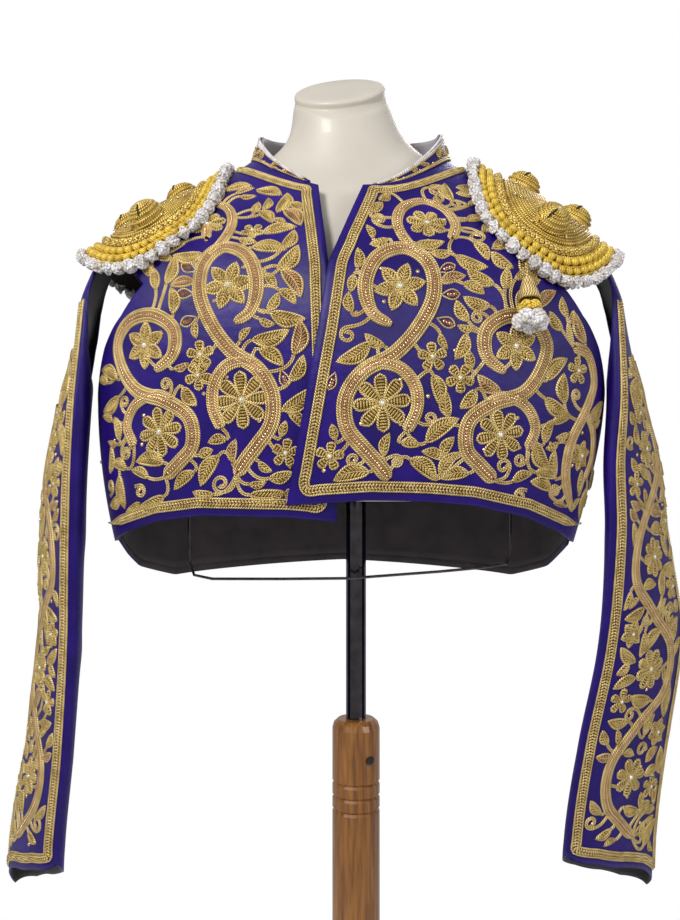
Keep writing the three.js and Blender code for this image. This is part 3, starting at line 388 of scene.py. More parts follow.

# %% [markdown]
# ## Materials
# Every material is built from the same three steps: an effect, a colour that runs between two or three
# tones by that effect, and a bump from it. For thread the tones are painted shade in the grooves of the twist
# and a painted highlight on its crests; for satin and lining they are painted shade in the grooves of the weave.
# Satin and silk add sheen, gold thread is half metal, half silk core, so it shines but keeps its yellow in the shade.

# %% Materials
def colour(hexa):
    v = [int(hexa[i:i + 2], 16) / 255 for i in (0, 2, 4)]
    return tuple(((c + 0.055) / 1.055) ** 2.4 if c > 0.04045 else c / 12.92 for c in v) + (1,)


class Paint:
    """A material, its shader and short calls to fill it."""

    def __init__(self, name, roughness=0.5, metallic=0.0, **sockets):
        self.material = bpy.data.materials.new(name)
        self.material.use_nodes = True
        self.tree = self.material.node_tree
        self.shader = self.tree.nodes["Principled BSDF"]
        self.shader.inputs["Roughness"].default_value = roughness
        self.shader.inputs["Metallic"].default_value = metallic
        for socket, value in sockets.items():
            self.shader.inputs[socket.replace("_", " ")].default_value = value

    def group(self, group, **values):
        node = self.tree.nodes.new("ShaderNodeGroup")
        node.node_tree = group
        for label, value in values.items():
            node.inputs[label.replace("_", " ")].default_value = value
        if "Map" in node.inputs:
            uv = self.tree.nodes.new("ShaderNodeUVMap")
            self.tree.links.new(uv.outputs[0], node.inputs["Map"])
        return node

    def tones(self, factor, stops):
        ramp = self.tree.nodes.new("ShaderNodeValToRGB")
        self.tree.links.new(factor, ramp.inputs[0])
        e = ramp.color_ramp.elements
        e[0].position, e[0].color = stops[0][0], colour(stops[0][1])
        e[1].position, e[1].color = stops[-1][0], colour(stops[-1][1])
        for place, hexa in stops[1:-1]:
            e.new(place).color = colour(hexa)
        return ramp.outputs["Color"]

    def mix(self, a, b, factor, kind="MULTIPLY"):
        node = self.tree.nodes.new("ShaderNodeMix")
        node.data_type, node.blend_type = "RGBA", kind
        for socket, value in ((node.inputs[0], factor), (node.inputs[6], a), (node.inputs[7], b)):
            if isinstance(value, (int, float, tuple)):
                socket.default_value = value
            else:
                self.tree.links.new(value, socket)
        return node.outputs[2]

    def base(self, value):
        self.tree.links.new(value, self.shader.inputs["Base Color"])
        return self

    def rough(self, factor, low, high):
        r = self.tree.nodes.new("ShaderNodeMapRange")
        r.inputs["To Min"].default_value, r.inputs["To Max"].default_value = low, high
        self.tree.links.new(factor, r.inputs["Value"])
        self.tree.links.new(r.outputs[0], self.shader.inputs["Roughness"])
        return self

    def bump(self, *heights):
        """heights: (socket, distance in mm), from the broad one to the fine one."""
        normal = None
        for socket, distance in heights:
            node = self.tree.nodes.new("ShaderNodeBump")
            node.inputs["Strength"].default_value = 1.0
            node.inputs["Distance"].default_value = distance * MM
            self.tree.links.new(socket, node.inputs["Height"])
            if normal:
                self.tree.links.new(normal, node.inputs["Normal"])
            normal = node.outputs[0]
        self.tree.links.new(normal, self.shader.inputs["Normal"])
        return self


def satin(name, dark, mid, light):
    p = Paint(name, roughness=0.38, Sheen_Weight=0.05, Sheen_Roughness=0.35, Specular_IOR_Level=0.3)
    p.shader.inputs["Sheen Tint"].default_value = colour("8f7ee8")
    p.shader.inputs["Anisotropic"].default_value = 0.5
    weave = p.group(weave_group, Threads_per_mm=2.6)
    slow = p.group(uneven_group, Size_mm=38.0)
    fine = p.group(uneven_group, Size_mm=5.0, Seed=3.0)
    tone = p.tones(slow.outputs[0], [(0.3, dark), (0.52, mid), (0.75, light)])
    # the weave's grooves are darkened: painted shade between the threads
    p.base(p.mix(tone, p.tones(weave.outputs["Groove shade"], [(0.2, "ffffff"), (0.9, "b9b4cf")]), 0.8))
    p.rough(fine.outputs[0], 0.30, 0.44)
    return p.bump((slow.outputs[0], 1.0), (fine.outputs[0], 0.22), (weave.outputs["Bump Height"], 0.05)).material


def lining(name, dark, light, roughness=0.6):
    p = Paint(name, roughness=roughness, Sheen_Weight=0.2)
    weave = p.group(weave_group, Threads_per_mm=1.6, Long_floats=1.5)
    slow = p.group(uneven_group, Size_mm=25.0, Seed=5.0)
    tone = p.tones(slow.outputs[0], [(0.3, dark), (0.7, light)])
    # the weave's grooves are darkened: painted shade between the threads
    p.base(p.mix(tone, p.tones(weave.outputs["Groove shade"], [(0.2, "ffffff"), (0.9, "a8a8a8")]), 0.7))
    return p.bump((slow.outputs[0], 0.8), (weave.outputs["Bump Height"], 0.08)).material


def thread(name, groove_shade, mid, light, turns=0.6, slant=1.0, metallic=0.55, roughness=0.34, depth=0.25):
    p = Paint(name, roughness=roughness, metallic=metallic)
    twist = p.group(thread_group, Turns_per_mm=turns, Slant=slant)
    slow = p.group(uneven_group, Size_mm=9.0, Seed=11.0)
    # the tone runs from painted shade in the twist's grooves, through the thread's own colour, to a painted highlight
    # on its crests
    tone = p.tones(twist.outputs["Bump Height"], [(0.05, groove_shade), (0.45, mid), (0.95, light)])
    p.base(p.mix(tone, p.tones(slow.outputs[0], [(0.3, "c9bda6"), (0.6, "ffffff")]), 0.9))
    p.rough(slow.outputs[0], roughness - 0.08, roughness + 0.14)
    return p.bump((twist.outputs["Bump Height"], depth)).material


SATIN = satin("purple satin", "180562", "220674", "2f1088")
SATIN_BACK = satin("purple satin, back", "170560", "210672", "2e0f86")
LINING_GREY = lining("grey black lining", "332c30", "4a4247")
LINING_BLACK = lining("black lining", "0d0b0e", "1b181c")
LINING_PALE = lining("pale lining", "a5a2ad", "c4c1cb")
GOLD_CORD = thread("light gold cord", "4a3006", "d6aa4c", "fff0b4", turns=0.45, metallic=0.35, roughness=0.38)
GOLD_PURL = thread("gold purl", "3c2806", "c89b3c", "ffe99a", turns=0.7, slant=0.6, metallic=0.4, roughness=0.34)
COPPER = thread("copper purl", "4c2e14", "b98552", "efc79a", turns=0.7, slant=0.6, metallic=0.45)
# the padding under wires and cords, its colour darkened as painted shade in the gaps between them
SHADE = thread("thread ground, painted shade", "2c1c08", "5a3f16", "7d5c26", turns=0.5, metallic=0.1, roughness=0.7)
YELLOW_SILK = thread("yellow silk", "a9780f", "e8c02a", "f8e168", turns=0.5, slant=0.3, metallic=0.0,
                     roughness=0.42, depth=0.12)
WHITE_CORD = thread("white cord", "b0adb7", "e6e3e8", "fbfafb", turns=0.35, metallic=0.0, roughness=0.8, depth=0.35)


def form_plastic():
    p = Paint("white form", roughness=0.42, Coat_Weight=0.1)
    slow = p.group(uneven_group, Size_mm=60.0)
    fine = p.group(uneven_group, Size_mm=3.0, Seed=2.0)
    p.base(p.tones(slow.outputs[0], [(0.25, "c6bfb3"), (0.7, "d2ccc1")]))
    p.rough(fine.outputs[0], 0.38, 0.52)
    return p.bump((slow.outputs[0], 0.3), (fine.outputs[0], 0.05)).material


def chrome():
    p = Paint("dark chrome", roughness=0.2, metallic=1.0)
    fine = p.group(uneven_group, Size_mm=12.0)
    p.base(p.tones(fine.outputs[0], [(0.3, "454144"), (0.7, "5e5a5d")]))
    p.rough(fine.outputs[0], 0.08, 0.18)
    return p.bump((fine.outputs[0], 0.02)).material


def wood():
    p = Paint("turned wood", roughness=0.35, Coat_Weight=0.6, Coat_Roughness=0.15)
    coord = p.tree.nodes.new("ShaderNodeTexCoord")
    stretch = p.tree.nodes.new("ShaderNodeMapping")
    stretch.inputs["Scale"].default_value = (1, 1, 0.07)
    p.tree.links.new(coord.outputs["Object"], stretch.inputs["Vector"])
    grain = p.tree.nodes.new("ShaderNodeTexNoise")
    grain.inputs["Scale"].default_value, grain.inputs["Detail"].default_value = 260, 6
    p.tree.links.new(stretch.outputs[0], grain.inputs["Vector"])
    p.base(p.tones(grain.outputs["Fac"], [(0.3, "62380f"), (0.5, "835219"), (0.7, "9a6828")]))
    p.rough(grain.outputs["Fac"], 0.28, 0.45)
    return p.bump((grain.outputs["Fac"], 0.05)).material


FORM_WHITE, CHROME, WOOD = form_plastic(), chrome(), wood()
floor_paint = Paint("white floor", roughness=0.9)
floor_paint.base(floor_paint.tones(floor_paint.group(uneven_group, Size_mm=400.0).outputs[0],
                                   [(0.2, "f6f6f6"), (0.8, "fafafa")]))
floor.data.materials.append(floor_paint.material)
print("materials:", len(bpy.data.materials))

# %% [markdown]
# ## The fronts
# Two fronts are cut from satin backed with canvas, the wearer's left lapping over the right. Each
# runs from its centre edge to the side seam and the armhole. The grid of points follows the hem at
# the bottom and the body rings above it.

# %% The fronts
EDGE = {1: ([1090, 1106, 1249, 1306, 1340, 1392], [-63, -60, -34.5, -26, -12, 9]),
        -1: ([1070, 1085, 1200, 1306, 1340, 1384], [-18.5, -18.6, -22, -26, -30, -36])}
HEM = {1: ([-70, 7, 60, 100, 150, 187, 205, 225], [1096, 1101, 1099, 1095.5, 1084, 1068, 1057, 1050]),
       -1: ([-250, -236, -215, -180, -139, -60, -18, 0], [1050, 1055, 1068, 1080, 1086, 1085, 1081, 1080])}
HEM_BACK = ([90, 97, 105, 125, 150, 180, 210, 235, 255, 263, 270],
            [1051, 1040, 1026, 1013, 1018, 1025, 1018, 1013, 1026, 1040, 1055])
ARMHOLE = ([3.7, 3.85, 4.2, 4.8, 5.4, 6.1, 6.5, 6.8, 6.94, 7.0],
           [0, 9, 15, 22, 32, 40, 33, 19, 9, 0], [0, 8, 13, 18, 24, 28, 25, 15, 8, 0])
SIDE_NAME = {1: "left", -1: "right"}
FRONT_HEM, FRONT_LOW = 0.68, 3.05   # rows up to which a front follows its hem, and is blended
BACK_HEM, BACK_LOW = 0.6, 2.6       # the same for the back


def armhole(level, which):
    return np.interp(level, ARMHOLE[0], ARMHOLE[which]) * DEG


def lap_out(side, x):
    return LAP * ease((50 - x) / 56) if side > 0 else 0 * x


def front_edge(side, level):
    z = smooth_rows(RINGS, level)[..., 0]
    return angle_at_x(level, np.interp(z, *EDGE[side]))


def front_hem(side, angle):
    level = np.full(np.shape(angle), 1.5)
    for _ in range(4):
        level = level_at_height(angle, np.interp(body(angle, level)[..., 0], *HEM[side]))
    return level


def front_grid(side, rows, cols):
    """Angles and levels of a front panel's grid: rows follow the hem at first, and the rings higher up."""
    row, col = np.meshgrid(rows, np.linspace(0, 1, cols), indexing="ij")
    low = row < FRONT_LOW
    level = np.where(low, 1.5 + 0.5 * row, row)
    for _ in range(4):
        inner = front_edge(side, level)
        angle = inner + (side * (math.pi / 2 - armhole(level, 1)) - inner) * col
        hem = level.copy()
        hem[low] = front_hem(side, angle[low])
        level = hem + (2.45 - hem) * np.minimum(row, FRONT_HEM) / FRONT_HEM * 0.72
        rest = np.clip((row - FRONT_HEM) / (FRONT_LOW - FRONT_HEM), 0, 1)
        level = np.where(low, level + (FRONT_LOW - level) * rest, row)
    return angle, level


def fine_rows(marks, steps):
    return np.concatenate([np.linspace(a, b, n, endpoint=False) for a, b, n in zip(marks, marks[1:], steps)]
                          + [[marks[-1]]])


def raised(angle, level, out, side, folds):
    p = body(angle, level)
    n = body_normal(angle, level)
    return p + n * (np.asarray(out) + lap_out(side, p[..., 0]) + swell(p, folds))[..., None]


def round_map(points):
    """A map in millimetres: along each row, and straight up."""
    return np.stack([lengths_along(points), points[..., 2]], -1)


FRONT_MARKS = [0, .34, .68, 3.05, 3.7, 4.2, 4.8, 5.4, 6.1, 6.5, 6.8, 7, 7.7, 8.4, 9.2, 10]
FRONT_STEPS = [4, 4, 12, 10, 8, 9, 9, 9, 5, 4, 3, 8, 8, 9, 9]
for side in (1, -1):
    angle, level = front_grid(side, fine_rows(FRONT_MARKS, FRONT_STEPS), 73)
    folds = FOLDS[SIDE_NAME[side]]
    outer = raised(angle, level, CLOTH, side, folds)
    inner = raised(angle, level, 0.0, side, [f[:5] + (max(f[5], 0) * 0.8,) for f in folds])
    for grid in (outer, inner):
        grid[:, -1, 1] -= np.where(armhole(level[:, -1], 1) < 1e-6, SEAM / 2, 0)
    cloth(f"front_{SIDE_NAME[side]}_satin", outer, inner, round_map(body(angle, level)), (SATIN, LINING_BLACK))

# %% [markdown]
# ## The back and its lining
# The back is one piece from side seam to side seam. Its lining is a piece of its own, a little
# shorter, and shows under the front hem, so it is made too.

# %% The back and its lining
def back_hem(angle):
    return level_at_height(angle, np.interp(angle / DEG, *HEM_BACK))


def back_grid(rows, cols, inset=0.0):
    row, col = np.meshgrid(rows, np.linspace(0, 1, cols), indexing="ij")
    low = row < BACK_LOW
    level = np.where(low, 1.5, row)
    for _ in range(4):
        cut = armhole(level, 2)
        angle = (math.pi / 2 + cut) * (1 - col) + (3 * math.pi / 2 - cut) * col
        hem = level.copy()
        hem[low] = back_hem(angle[low]) + inset
        level = hem + (2.1 - hem) * np.minimum(row, BACK_HEM) / BACK_HEM * 0.7
        rest = np.clip((row - BACK_HEM) / (BACK_LOW - BACK_HEM), 0, 1)
        level = np.where(low, level + (BACK_LOW - level) * rest, row)
    return angle, level


BACK_MARKS = [0, .3, .6, 2.6, 3.2, 3.7, 4.2, 4.8, 5.4, 6.1, 6.5, 6.8, 7, 7.7, 8.4, 9.2, 10]
angle, level = back_grid(fine_rows(BACK_MARKS, [5, 5, 16, 10, 8, 8, 9, 9, 9, 5, 4, 3, 8, 8, 8, 8]), 101)
outer = raised(angle, level, CLOTH, -1, FOLDS["back"])
inner = raised(angle, level, 0.0, -1, FOLDS["back"])
for grid in (outer, inner):
    for end in (0, -1):
        grid[:, end, 1] += np.where(armhole(level[:, end], 2) < 1e-6, SEAM / 2, 0)
cloth("back_satin", outer, inner, round_map(body(angle, level)), (SATIN_BACK, LINING_GREY))

angle, level = back_grid(fine_rows([0, .6, 2.6, 3.2, 3.7], [8, 14, 10, 9]), 81, 0.14)
outer = raised(angle, level, -SEAM - 0.3, -1, [])
inner = raised(angle, level, -SEAM - 1.3, -1, [])
for grid in (outer, inner):
    grid[:, [0, -1], 1] += SEAM / 2
cloth("back_lining_cloth", outer, inner, round_map(outer), (LINING_GREY, LINING_GREY))

# %% [markdown]
# ## The stand collar
# The collar is a narrow stiffened band sewn to the neckline. It leans in a little and tapers to a
# point at each front end. A pale lining covers its inside.

# %% The stand collar
COLLAR_START = float(front_edge(1, np.asarray(NECK))) + 4 * DEG
COLLAR_END = 2 * math.pi + float(front_edge(-1, np.asarray(NECK))) - 5 * DEG
COLLAR_HIGH, COLLAR_LEAN = 30, 0.34


def collar_point(t, up, out):
    """A point of the collar: t goes round from end to end, up from the seam to the top edge."""
    t, up, out = np.broadcast_arrays(np.asarray(t, float), np.asarray(up, float), np.asarray(out, float))
    angle = COLLAR_START + (COLLAR_END - COLLAR_START) * t
    level = np.full(t.shape, NECK)
    n, base = body_normal(angle, level), body(angle, level)
    rise = unit(base - body(angle, level - 0.05))
    ends = np.minimum(t, 1 - t)
    high = COLLAR_HIGH * (0.10 + 0.90 * (ease(ends / 0.26) * 0.55 + np.minimum(1, ends / 0.2) * 0.45))
    flat = unit(n * [1, 1, 0])
    turn = np.clip(up / 0.12, 0, 1)[..., None]
    way = unit(n * (1 - turn) + flat * turn)
    p = base + rise * SEAM - flat * (COLLAR_LEAN * high * up)[..., None] + way * out[..., None]
    p[..., 2] += high * up
    return p


t, up = np.meshgrid(np.linspace(0, 1, 121), np.linspace(0, 1, 9))
outer, inner = collar_point(t, up, CLOTH), collar_point(t, up, 0.0)
cloth("collar_satin", outer, inner, round_map(outer), (SATIN, LINING_PALE))
t, up = np.meshgrid(np.linspace(3 / 26, 23 / 26, 121), np.linspace(.24, .96, 9))
outer, inner = collar_point(t, up, -SEAM - 0.3), collar_point(t, up, -SEAM - 1.2)
cloth("collar_lining_cloth", outer, inner, round_map(outer), (LINING_PALE, LINING_PALE))

# %% [markdown]
# ## The sleeves
# Each sleeve is a flattened tube of satin over canvas, lined in black, sewn on only over the
# shoulder. It hangs free from the armhole, so its dark inside shows there. The sections give centre,
# half length, half thickness and the turn of the flat, from the cuff to the shoulder.

# %% The sleeves
ARMS = {-1: np.array([
    [700, -323, 6, 60, 17, 36], [760, -319, 4, 60, 17, 34], [850, -306, 0, 60, 16, 30], [960, -295, -4, 62, 16, 26],
    [1060, -292, -6, 66, 17, 25], [1130, -287, -6, 68, 17, 22], [1190, -279, -4, 70, 15, 17],
    [1250, -268, -2, 66, 11, 11], [1290, -262, 0, 58, 10, 8], [1316, -253, 0, 44, 9, 6], [1334, -243, 0, 30, 8, 3],
    [1339.8, -233, 0, 25, 8, 1], [1343.2, -221, 0, 22, 8, 0]], float),
    1: np.array([
        [700, 256, 14, 62, 18, 56], [760, 257, 10, 62, 18, 57], [850, 267, 2, 62, 17, 56], [960, 283, -4, 62, 17, 51],
        [1060, 279, -6, 64, 17, 38], [1130, 275, -6, 67, 17, 34], [1190, 269, -4, 69, 15, 24],
        [1250, 261, -2, 65, 12, 17], [1290, 254, 0, 58, 11, 12], [1316, 245, 0, 44, 9, 9], [1334, 233, 0, 30, 8, 3],
        [1339.8, 223, 0, 25, 8, 1], [1343.2, 211, 0, 22, 8, 0]], float)}
CUFF = ([0, 60, 120, 180, 240, 300, 360], [748, 738, 718, 690, 702, 728, 748])
HEAD = ([0, 12, 30, 150, 168, 185, 205, 225, 270, 315, 335, 348, 360],
        [1300, 1325, 1343.2, 1343.2, 1325, 1296, 1250, 1216, 1196, 1214, 1240, 1268, 1300])
SLEEVE_FOLDS = [   # degrees and height of both ends, half width, height of the swelling
    (150, 1235, 60, 1180, 15, 1.3), (60, 1130, 130, 1085, 14, 1.3), (140, 1040, 70, 990, 15, 1.1),
    (60, 930, 120, 890, 13, 1.1), (120, 830, 70, 800, 12, 0.9), (250, 1120, 300, 1060, 16, 1.1),
    (300, 950, 240, 900, 16, 1.1), (30, 1000, 36, 1120, 9, 0.7), (158, 860, 150, 980, 10, 0.8)]
MM_PER_DEGREE = 0.75   # round the sleeve


def sleeve_base(side, a, z):
    rows = ARMS[side]
    a, z = np.broadcast_arrays(np.asarray(a, float), np.asarray(z, float))
    level = np.interp(z, rows[:, 0], np.arange(len(rows)))
    level = np.where(z < rows[0, 0], (z - rows[0, 0]) / (rows[1, 0] - rows[0, 0]), level)
    _, x, y, long, short, turn = np.moveaxis(smooth_rows(rows, level), -1, 0)
    turn = turn * DEG
    zero = 0 * turn
    fold = np.stack([-side * np.sin(turn), -np.cos(turn), zero], -1)
    face = np.stack([side * np.cos(turn), -np.sin(turn), zero], -1)
    e = 2 / 2.3
    centre = np.stack([x, y, z], -1)
    return (centre + fold * (long * power(np.cos(a), e))[..., None]
            + face * (short * power(np.sin(a), e))[..., None])


def sleeve_point(side, a, z):
    """Points of the sleeve's outside with its creases, and the directions they face."""
    around = sleeve_base(side, a + 0.04, z) - sleeve_base(side, a - 0.04, z)
    up = sleeve_base(side, a, z + 0.4) - sleeve_base(side, a, z - 0.4)
    n = unit(np.cross(around, up)) * side
    deg = np.mod(a / DEG, 360)
    rise = 0.0
    for a0, z0, a1, z1, width, height in SLEEVE_FOLDS:
        dx, dz = (a1 - a0) * MM_PER_DEGREE, z1 - z0
        t = np.clip(((deg - a0) * MM_PER_DEGREE * dx + (z - z0) * dz) / (dx * dx + dz * dz), 0, 1)
        d = np.hypot((deg - a0) * MM_PER_DEGREE - t * dx, z - z0 - t * dz)
        rise = rise + height * np.exp(-(d / width) ** 2)
    return sleeve_base(side, a, z) + n * rise[..., None], n


for side in (1, -1):
    turns = np.linspace(0, 360, 84, endpoint=False)
    t, deg = np.meshgrid(np.linspace(0, 1, 116), turns, indexing="ij")
    low, high = np.interp(deg, *CUFF), np.interp(deg, *HEAD)
    z = low + (high - low) * t
    outer, n = sleeve_point(side, deg * DEG, z)
    uv = np.stack([lengths_along(outer), z], -1)
    cloth(f"sleeve_{SIDE_NAME[side]}_satin", outer, outer - n * CLOTH, uv, (SATIN, LINING_BLACK),
          closed=True)

# %% [markdown]
# ## The form and the stand
# The form is one smooth white shell: torso, sloping shoulders, neck and a tilted cap. It is made
# here as a fine mesh on the same rings as its solid. The tube, post, base, screw and wire keep their
# solids and take their finish: dark chrome and lacquered wood.

# %% The form and the stand
def turn_about_x(angle):
    c, s = math.cos(angle), math.sin(angle)
    return np.array([[1, 0, 0], [0, c, -s], [0, s, c]])


def turn_about_y(angle):
    c, s = math.cos(angle), math.sin(angle)
    return np.array([[c, 0, s], [0, 1, 0], [-s, 0, c]])


AROUND = 84
a = np.linspace(0, 2 * math.pi, AROUND, endpoint=False)
levels = np.concatenate([np.linspace(0, 1, 5), np.linspace(1, 11, 61)[1:]])
rings = [ring_point(FORM_RINGS, a, np.full(a.shape, level)) for level in levels]
CAP = [   # radius, height: the rounded edge and the flat top of the tilted cap
    (45.7, -5), (46, -3.2), (46, -1), (46, -.2), (45.6, .8), (44.6, 1.9), (42.8, 2.7), (41, 3.0), (20, 3.2), (2, 3.2)]
for radius, up in CAP:
    cap = np.stack([radius * np.sin(a), -radius * np.cos(a), np.full(a.shape, up)], -1)
    rings.append(cap @ (turn_about_y(-6.5 * DEG) @ turn_about_x(33 * DEG)).T + [-16, 2, 1503])
floor_rings = []   # the closed underside, from its middle outwards
for part in (0.02, 0.5, 0.93, 0.985):
    r = rings[0].copy()
    r[:, :2] = (r[:, :2] - [-11, 0]) * part + [-11, 0]
    floor_rings.append(r)
points = np.array(floor_rings + rings)
points[4, :, 2] += 1.2
points[3, :, 2] += 0.1
last = (len(points) - 1) * AROUND
ends = [[0, k + 1, k] for k in range(1, AROUND - 1)]
ends += [[last, last + k, last + k + 1] for k in range(1, AROUND - 1)]
link("form_shell", mesh_of("form_shell", points.reshape(-1, 3), faces_of(len(points), AROUND, ring=True), ends,
                           materials=(FORM_WHITE,)), ["form"])

for name, material in (("tube", CHROME), ("wire", CHROME), ("screw", CHROME), ("base", CHROME), ("post", WOOD)):
    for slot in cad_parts[name].material_slots:
        slot.link, slot.material = "OBJECT", material
print("form points:", points.shape[0] * points.shape[1])

# %% [markdown]
# ## More finishes
# Sequins of two colours and glass crystals are shiny points between the threads. The slits in the domes
# and the backing under the plates are painted black, as shade. The shoulder pieces have a yellower gold than the
# embroidery.

# %% More finishes
def bright(name, dark, light, roughness, metallic, coat=0.0):
    p = Paint(name, roughness=roughness, metallic=metallic, Coat_Weight=coat)
    fine = p.group(uneven_group, Size_mm=2.5, Seed=4.0)
    p.base(p.tones(fine.outputs[0], [(0.3, dark), (0.65, light)]))
    p.rough(fine.outputs[0], max(0.05, roughness - 0.08), roughness + 0.08)
    return p.bump((fine.outputs[0], 0.05)).material


PINK = bright("pink gold sequin", "cf9f6c", "ffe2b4", 0.16, 0.85)
BRONZE = bright("bronze sequin", "6e4232", "c79474", 0.2, 0.85)
CRYSTAL = bright("crystal", "cfd6c0", "ffffff", 0.06, 0.35, 1.0)
PAINTED_SHADOW_BLACK = bright("painted shadow black", "120c06", "2a1c0c", 0.6, 0.0)
WHITE_KNOT = thread("white knotted cord", "b2afba", "eae8ec", "fcfbfc", turns=0.3, metallic=0.0, roughness=0.82,
                    depth=0.3)
SHOULDER_GOLD = thread("shoulder gold", "4a3206", "d6ab36", "ffe88c", turns=0.45, metallic=0.35, roughness=0.38)
SHOULDER_PURL = thread("shoulder purl", "3e2a05", "c2982c", "fadd74", turns=0.7, slant=0.6, metallic=0.4,
                       roughness=0.34)
# every embroidered piece has these materials in this order, and a stitch names its own by number
THREADS = (GOLD_CORD, GOLD_PURL, COPPER, YELLOW_SILK, WHITE_CORD, PINK, BRONZE, CRYSTAL, PAINTED_SHADOW_BLACK, WHITE_KNOT, SHADE,
           SHOULDER_GOLD, SHOULDER_PURL)
CORD, PURL, COPPER_, SILK, WHITE, SEQUIN, BRONZE_, GLASS, SHADOW_BLACK, KNOT, GROUND_SHADE, RICH, COIL = range(13)
print("threads:", len(THREADS))

# %% [markdown]
# ## The drawing board
# An embroiderer works on flat cloth in a frame. So each panel gets a flat board: s runs across and w
# up, both in millimetres along the cloth, and h is the height above it. A stitch is made flat and the
# whole board is then laid on the curved panel in one step, by finding for every (s, w) the place on
# the panel's grid of points that has those two lengths.

# %% The drawing board
class Board:
    """A grid of points in space, whose columns and rows stand for evenly spaced values."""

    def __init__(self, points, columns, rows, flip=False):
        self.points, self.columns, self.rows = points, columns, rows
        s = lengths_along(points)
        s = s - s[:, s.shape[1] // 2][:, None]
        self.s = -s if flip else s
        self.w = np.ascontiguousarray(lengths_along(points.swapaxes(0, 1)).T)
        n = np.cross(np.gradient(points, axis=1), np.gradient(points, axis=0))
        self.normals = unit(-n if flip else n)

    def sample(self, grid, i, j):
        rows, cols = grid.shape[:2]
        i0 = np.clip(np.floor(i).astype(int), 0, rows - 2)
        j0 = np.clip(np.floor(j).astype(int), 0, cols - 2)
        a, b = i - i0, j - j0
        if grid.ndim == 3:
            a, b = a[..., None], b[..., None]
        return ((grid[i0, j0] * (1 - a) + grid[i0 + 1, j0] * a) * (1 - b)
                + (grid[i0, j0 + 1] * (1 - a) + grid[i0 + 1, j0 + 1] * a) * b)

    def find(self, first, second, a, b, turns=14):
        """Grid place where the grids first and second take the values a and b."""
        rows, cols = first.shape
        i, j = np.full(len(a), rows / 2.0), np.full(len(a), cols / 2.0)
        for _ in range(turns):
            fa, sa = self.sample(first, i, j), self.sample(second, i, j)
            fi = self.sample(first, i + .5, j) - self.sample(first, i - .5, j)
            fj = self.sample(first, i, j + .5) - self.sample(first, i, j - .5)
            si = self.sample(second, i + .5, j) - self.sample(second, i - .5, j)
            sj = self.sample(second, i, j + .5) - self.sample(second, i, j - .5)
            det = fi * sj - fj * si
            det = np.where(np.abs(det) < 1e-9, 1e-9, det)
            da, db = a - fa, b - sa
            i = np.clip(i + np.clip((da * sj - fj * db) / det, -25, 25), -1, rows)
            j = np.clip(j + np.clip((fi * db - da * si) / det, -25, 25), -1, cols)
        return i, j

    def at(self, x, z):
        """Board place of a point of the panel given by its x and its height z."""
        x, z = np.atleast_1d(np.asarray(x, float)), np.atleast_1d(np.asarray(z, float))
        i, j = self.find(self.points[..., 0], self.points[..., 2], x, z)
        return np.stack([self.sample(self.s, i, j), self.sample(self.w, i, j)], -1)

    def at_values(self, column, row):
        """Board place of the point at a value of the columns and one of the rows."""
        column, row = np.atleast_1d(np.asarray(column, float)), np.atleast_1d(np.asarray(row, float))
        i = (row - self.rows[0]) / (self.rows[1] - self.rows[0])
        j = (column - self.columns[0]) / (self.columns[1] - self.columns[0])
        return np.stack([self.sample(self.s, i, j), self.sample(self.w, i, j)], -1)

    def values(self, flat):
        """The reverse: the values of the columns and of the rows at board places."""
        i, j = self.find(self.s, self.w, flat[:, 0], flat[:, 1])
        return (self.columns[0] + j * (self.columns[1] - self.columns[0]),
                self.rows[0] + i * (self.rows[1] - self.rows[0]))

    def frame_at(self, flat):
        """Point in space and the direction that the cloth faces, at one board place."""
        i, j = self.find(self.s, self.w, flat[:1], flat[1:])
        return self.sample(self.points, i, j)[0], unit(self.sample(self.normals, i, j))[0]

    def lay(self, flat):
        i, j = self.find(self.s, self.w, flat[:, 0], flat[:, 1])
        return self.sample(self.points, i, j) + unit(self.sample(self.normals, i, j)) * flat[:, 2:3]


class FreeBoard:
    """A board that isn't cloth: three axes and a foot in space."""

    def __init__(self, foot, axes):
        self.foot, self.axes = foot, axes

    def lay(self, flat):
        return flat @ self.axes + self.foot


def at_lengths(line, length, marks):
    """The points of a line at the given lengths along it."""
    return np.stack([np.interp(marks, length, line[:, k]) for k in range(line.shape[1])], -1)


def right_of(d):
    """Directions turned to the right."""
    return np.stack([d[:, 1], -d[:, 0]], -1)


def smooth_line(points, step=2.0):
    """A smooth line through points, with a point every step millimetres."""
    p = np.asarray(points, float)
    p = np.concatenate([[2 * p[0] - p[1]], p, [2 * p[-1] - p[-2]]])
    out = []
    for k in range(1, len(p) - 2):
        p0, p1, p2, p3 = p[k - 1:k + 3]
        d0, d1, d2 = (max(np.linalg.norm(b - a), 1e-6) ** 0.5 for a, b in ((p0, p1), (p1, p2), (p2, p3)))
        m1 = ((p1 - p0) / d0 - (p2 - p0) / (d0 + d1) + (p2 - p1) / d1) * d1
        m2 = ((p2 - p1) / d1 - (p3 - p1) / (d1 + d2) + (p3 - p2) / d2) * d1
        t = np.linspace(0, 1, 24, endpoint=False)[:, None]
        out.append((2 * t**3 - 3 * t**2 + 1) * p1 + (t**3 - 2 * t**2 + t) * m1
                   + (3 * t**2 - 2 * t**3) * p2 + (t**3 - t**2) * m2)
    line = np.concatenate(out + [[p[-2]]])
    length = lengths_along(line)
    n = max(4, int(round(length[-1] / step)))
    return at_lengths(line, length, np.linspace(0, length[-1], n + 1))


def aside(path, distance):
    """The line moved to its right by distance."""
    return path + right_of(unit(np.gradient(path, axis=0))) * np.reshape(distance, (-1, 1))


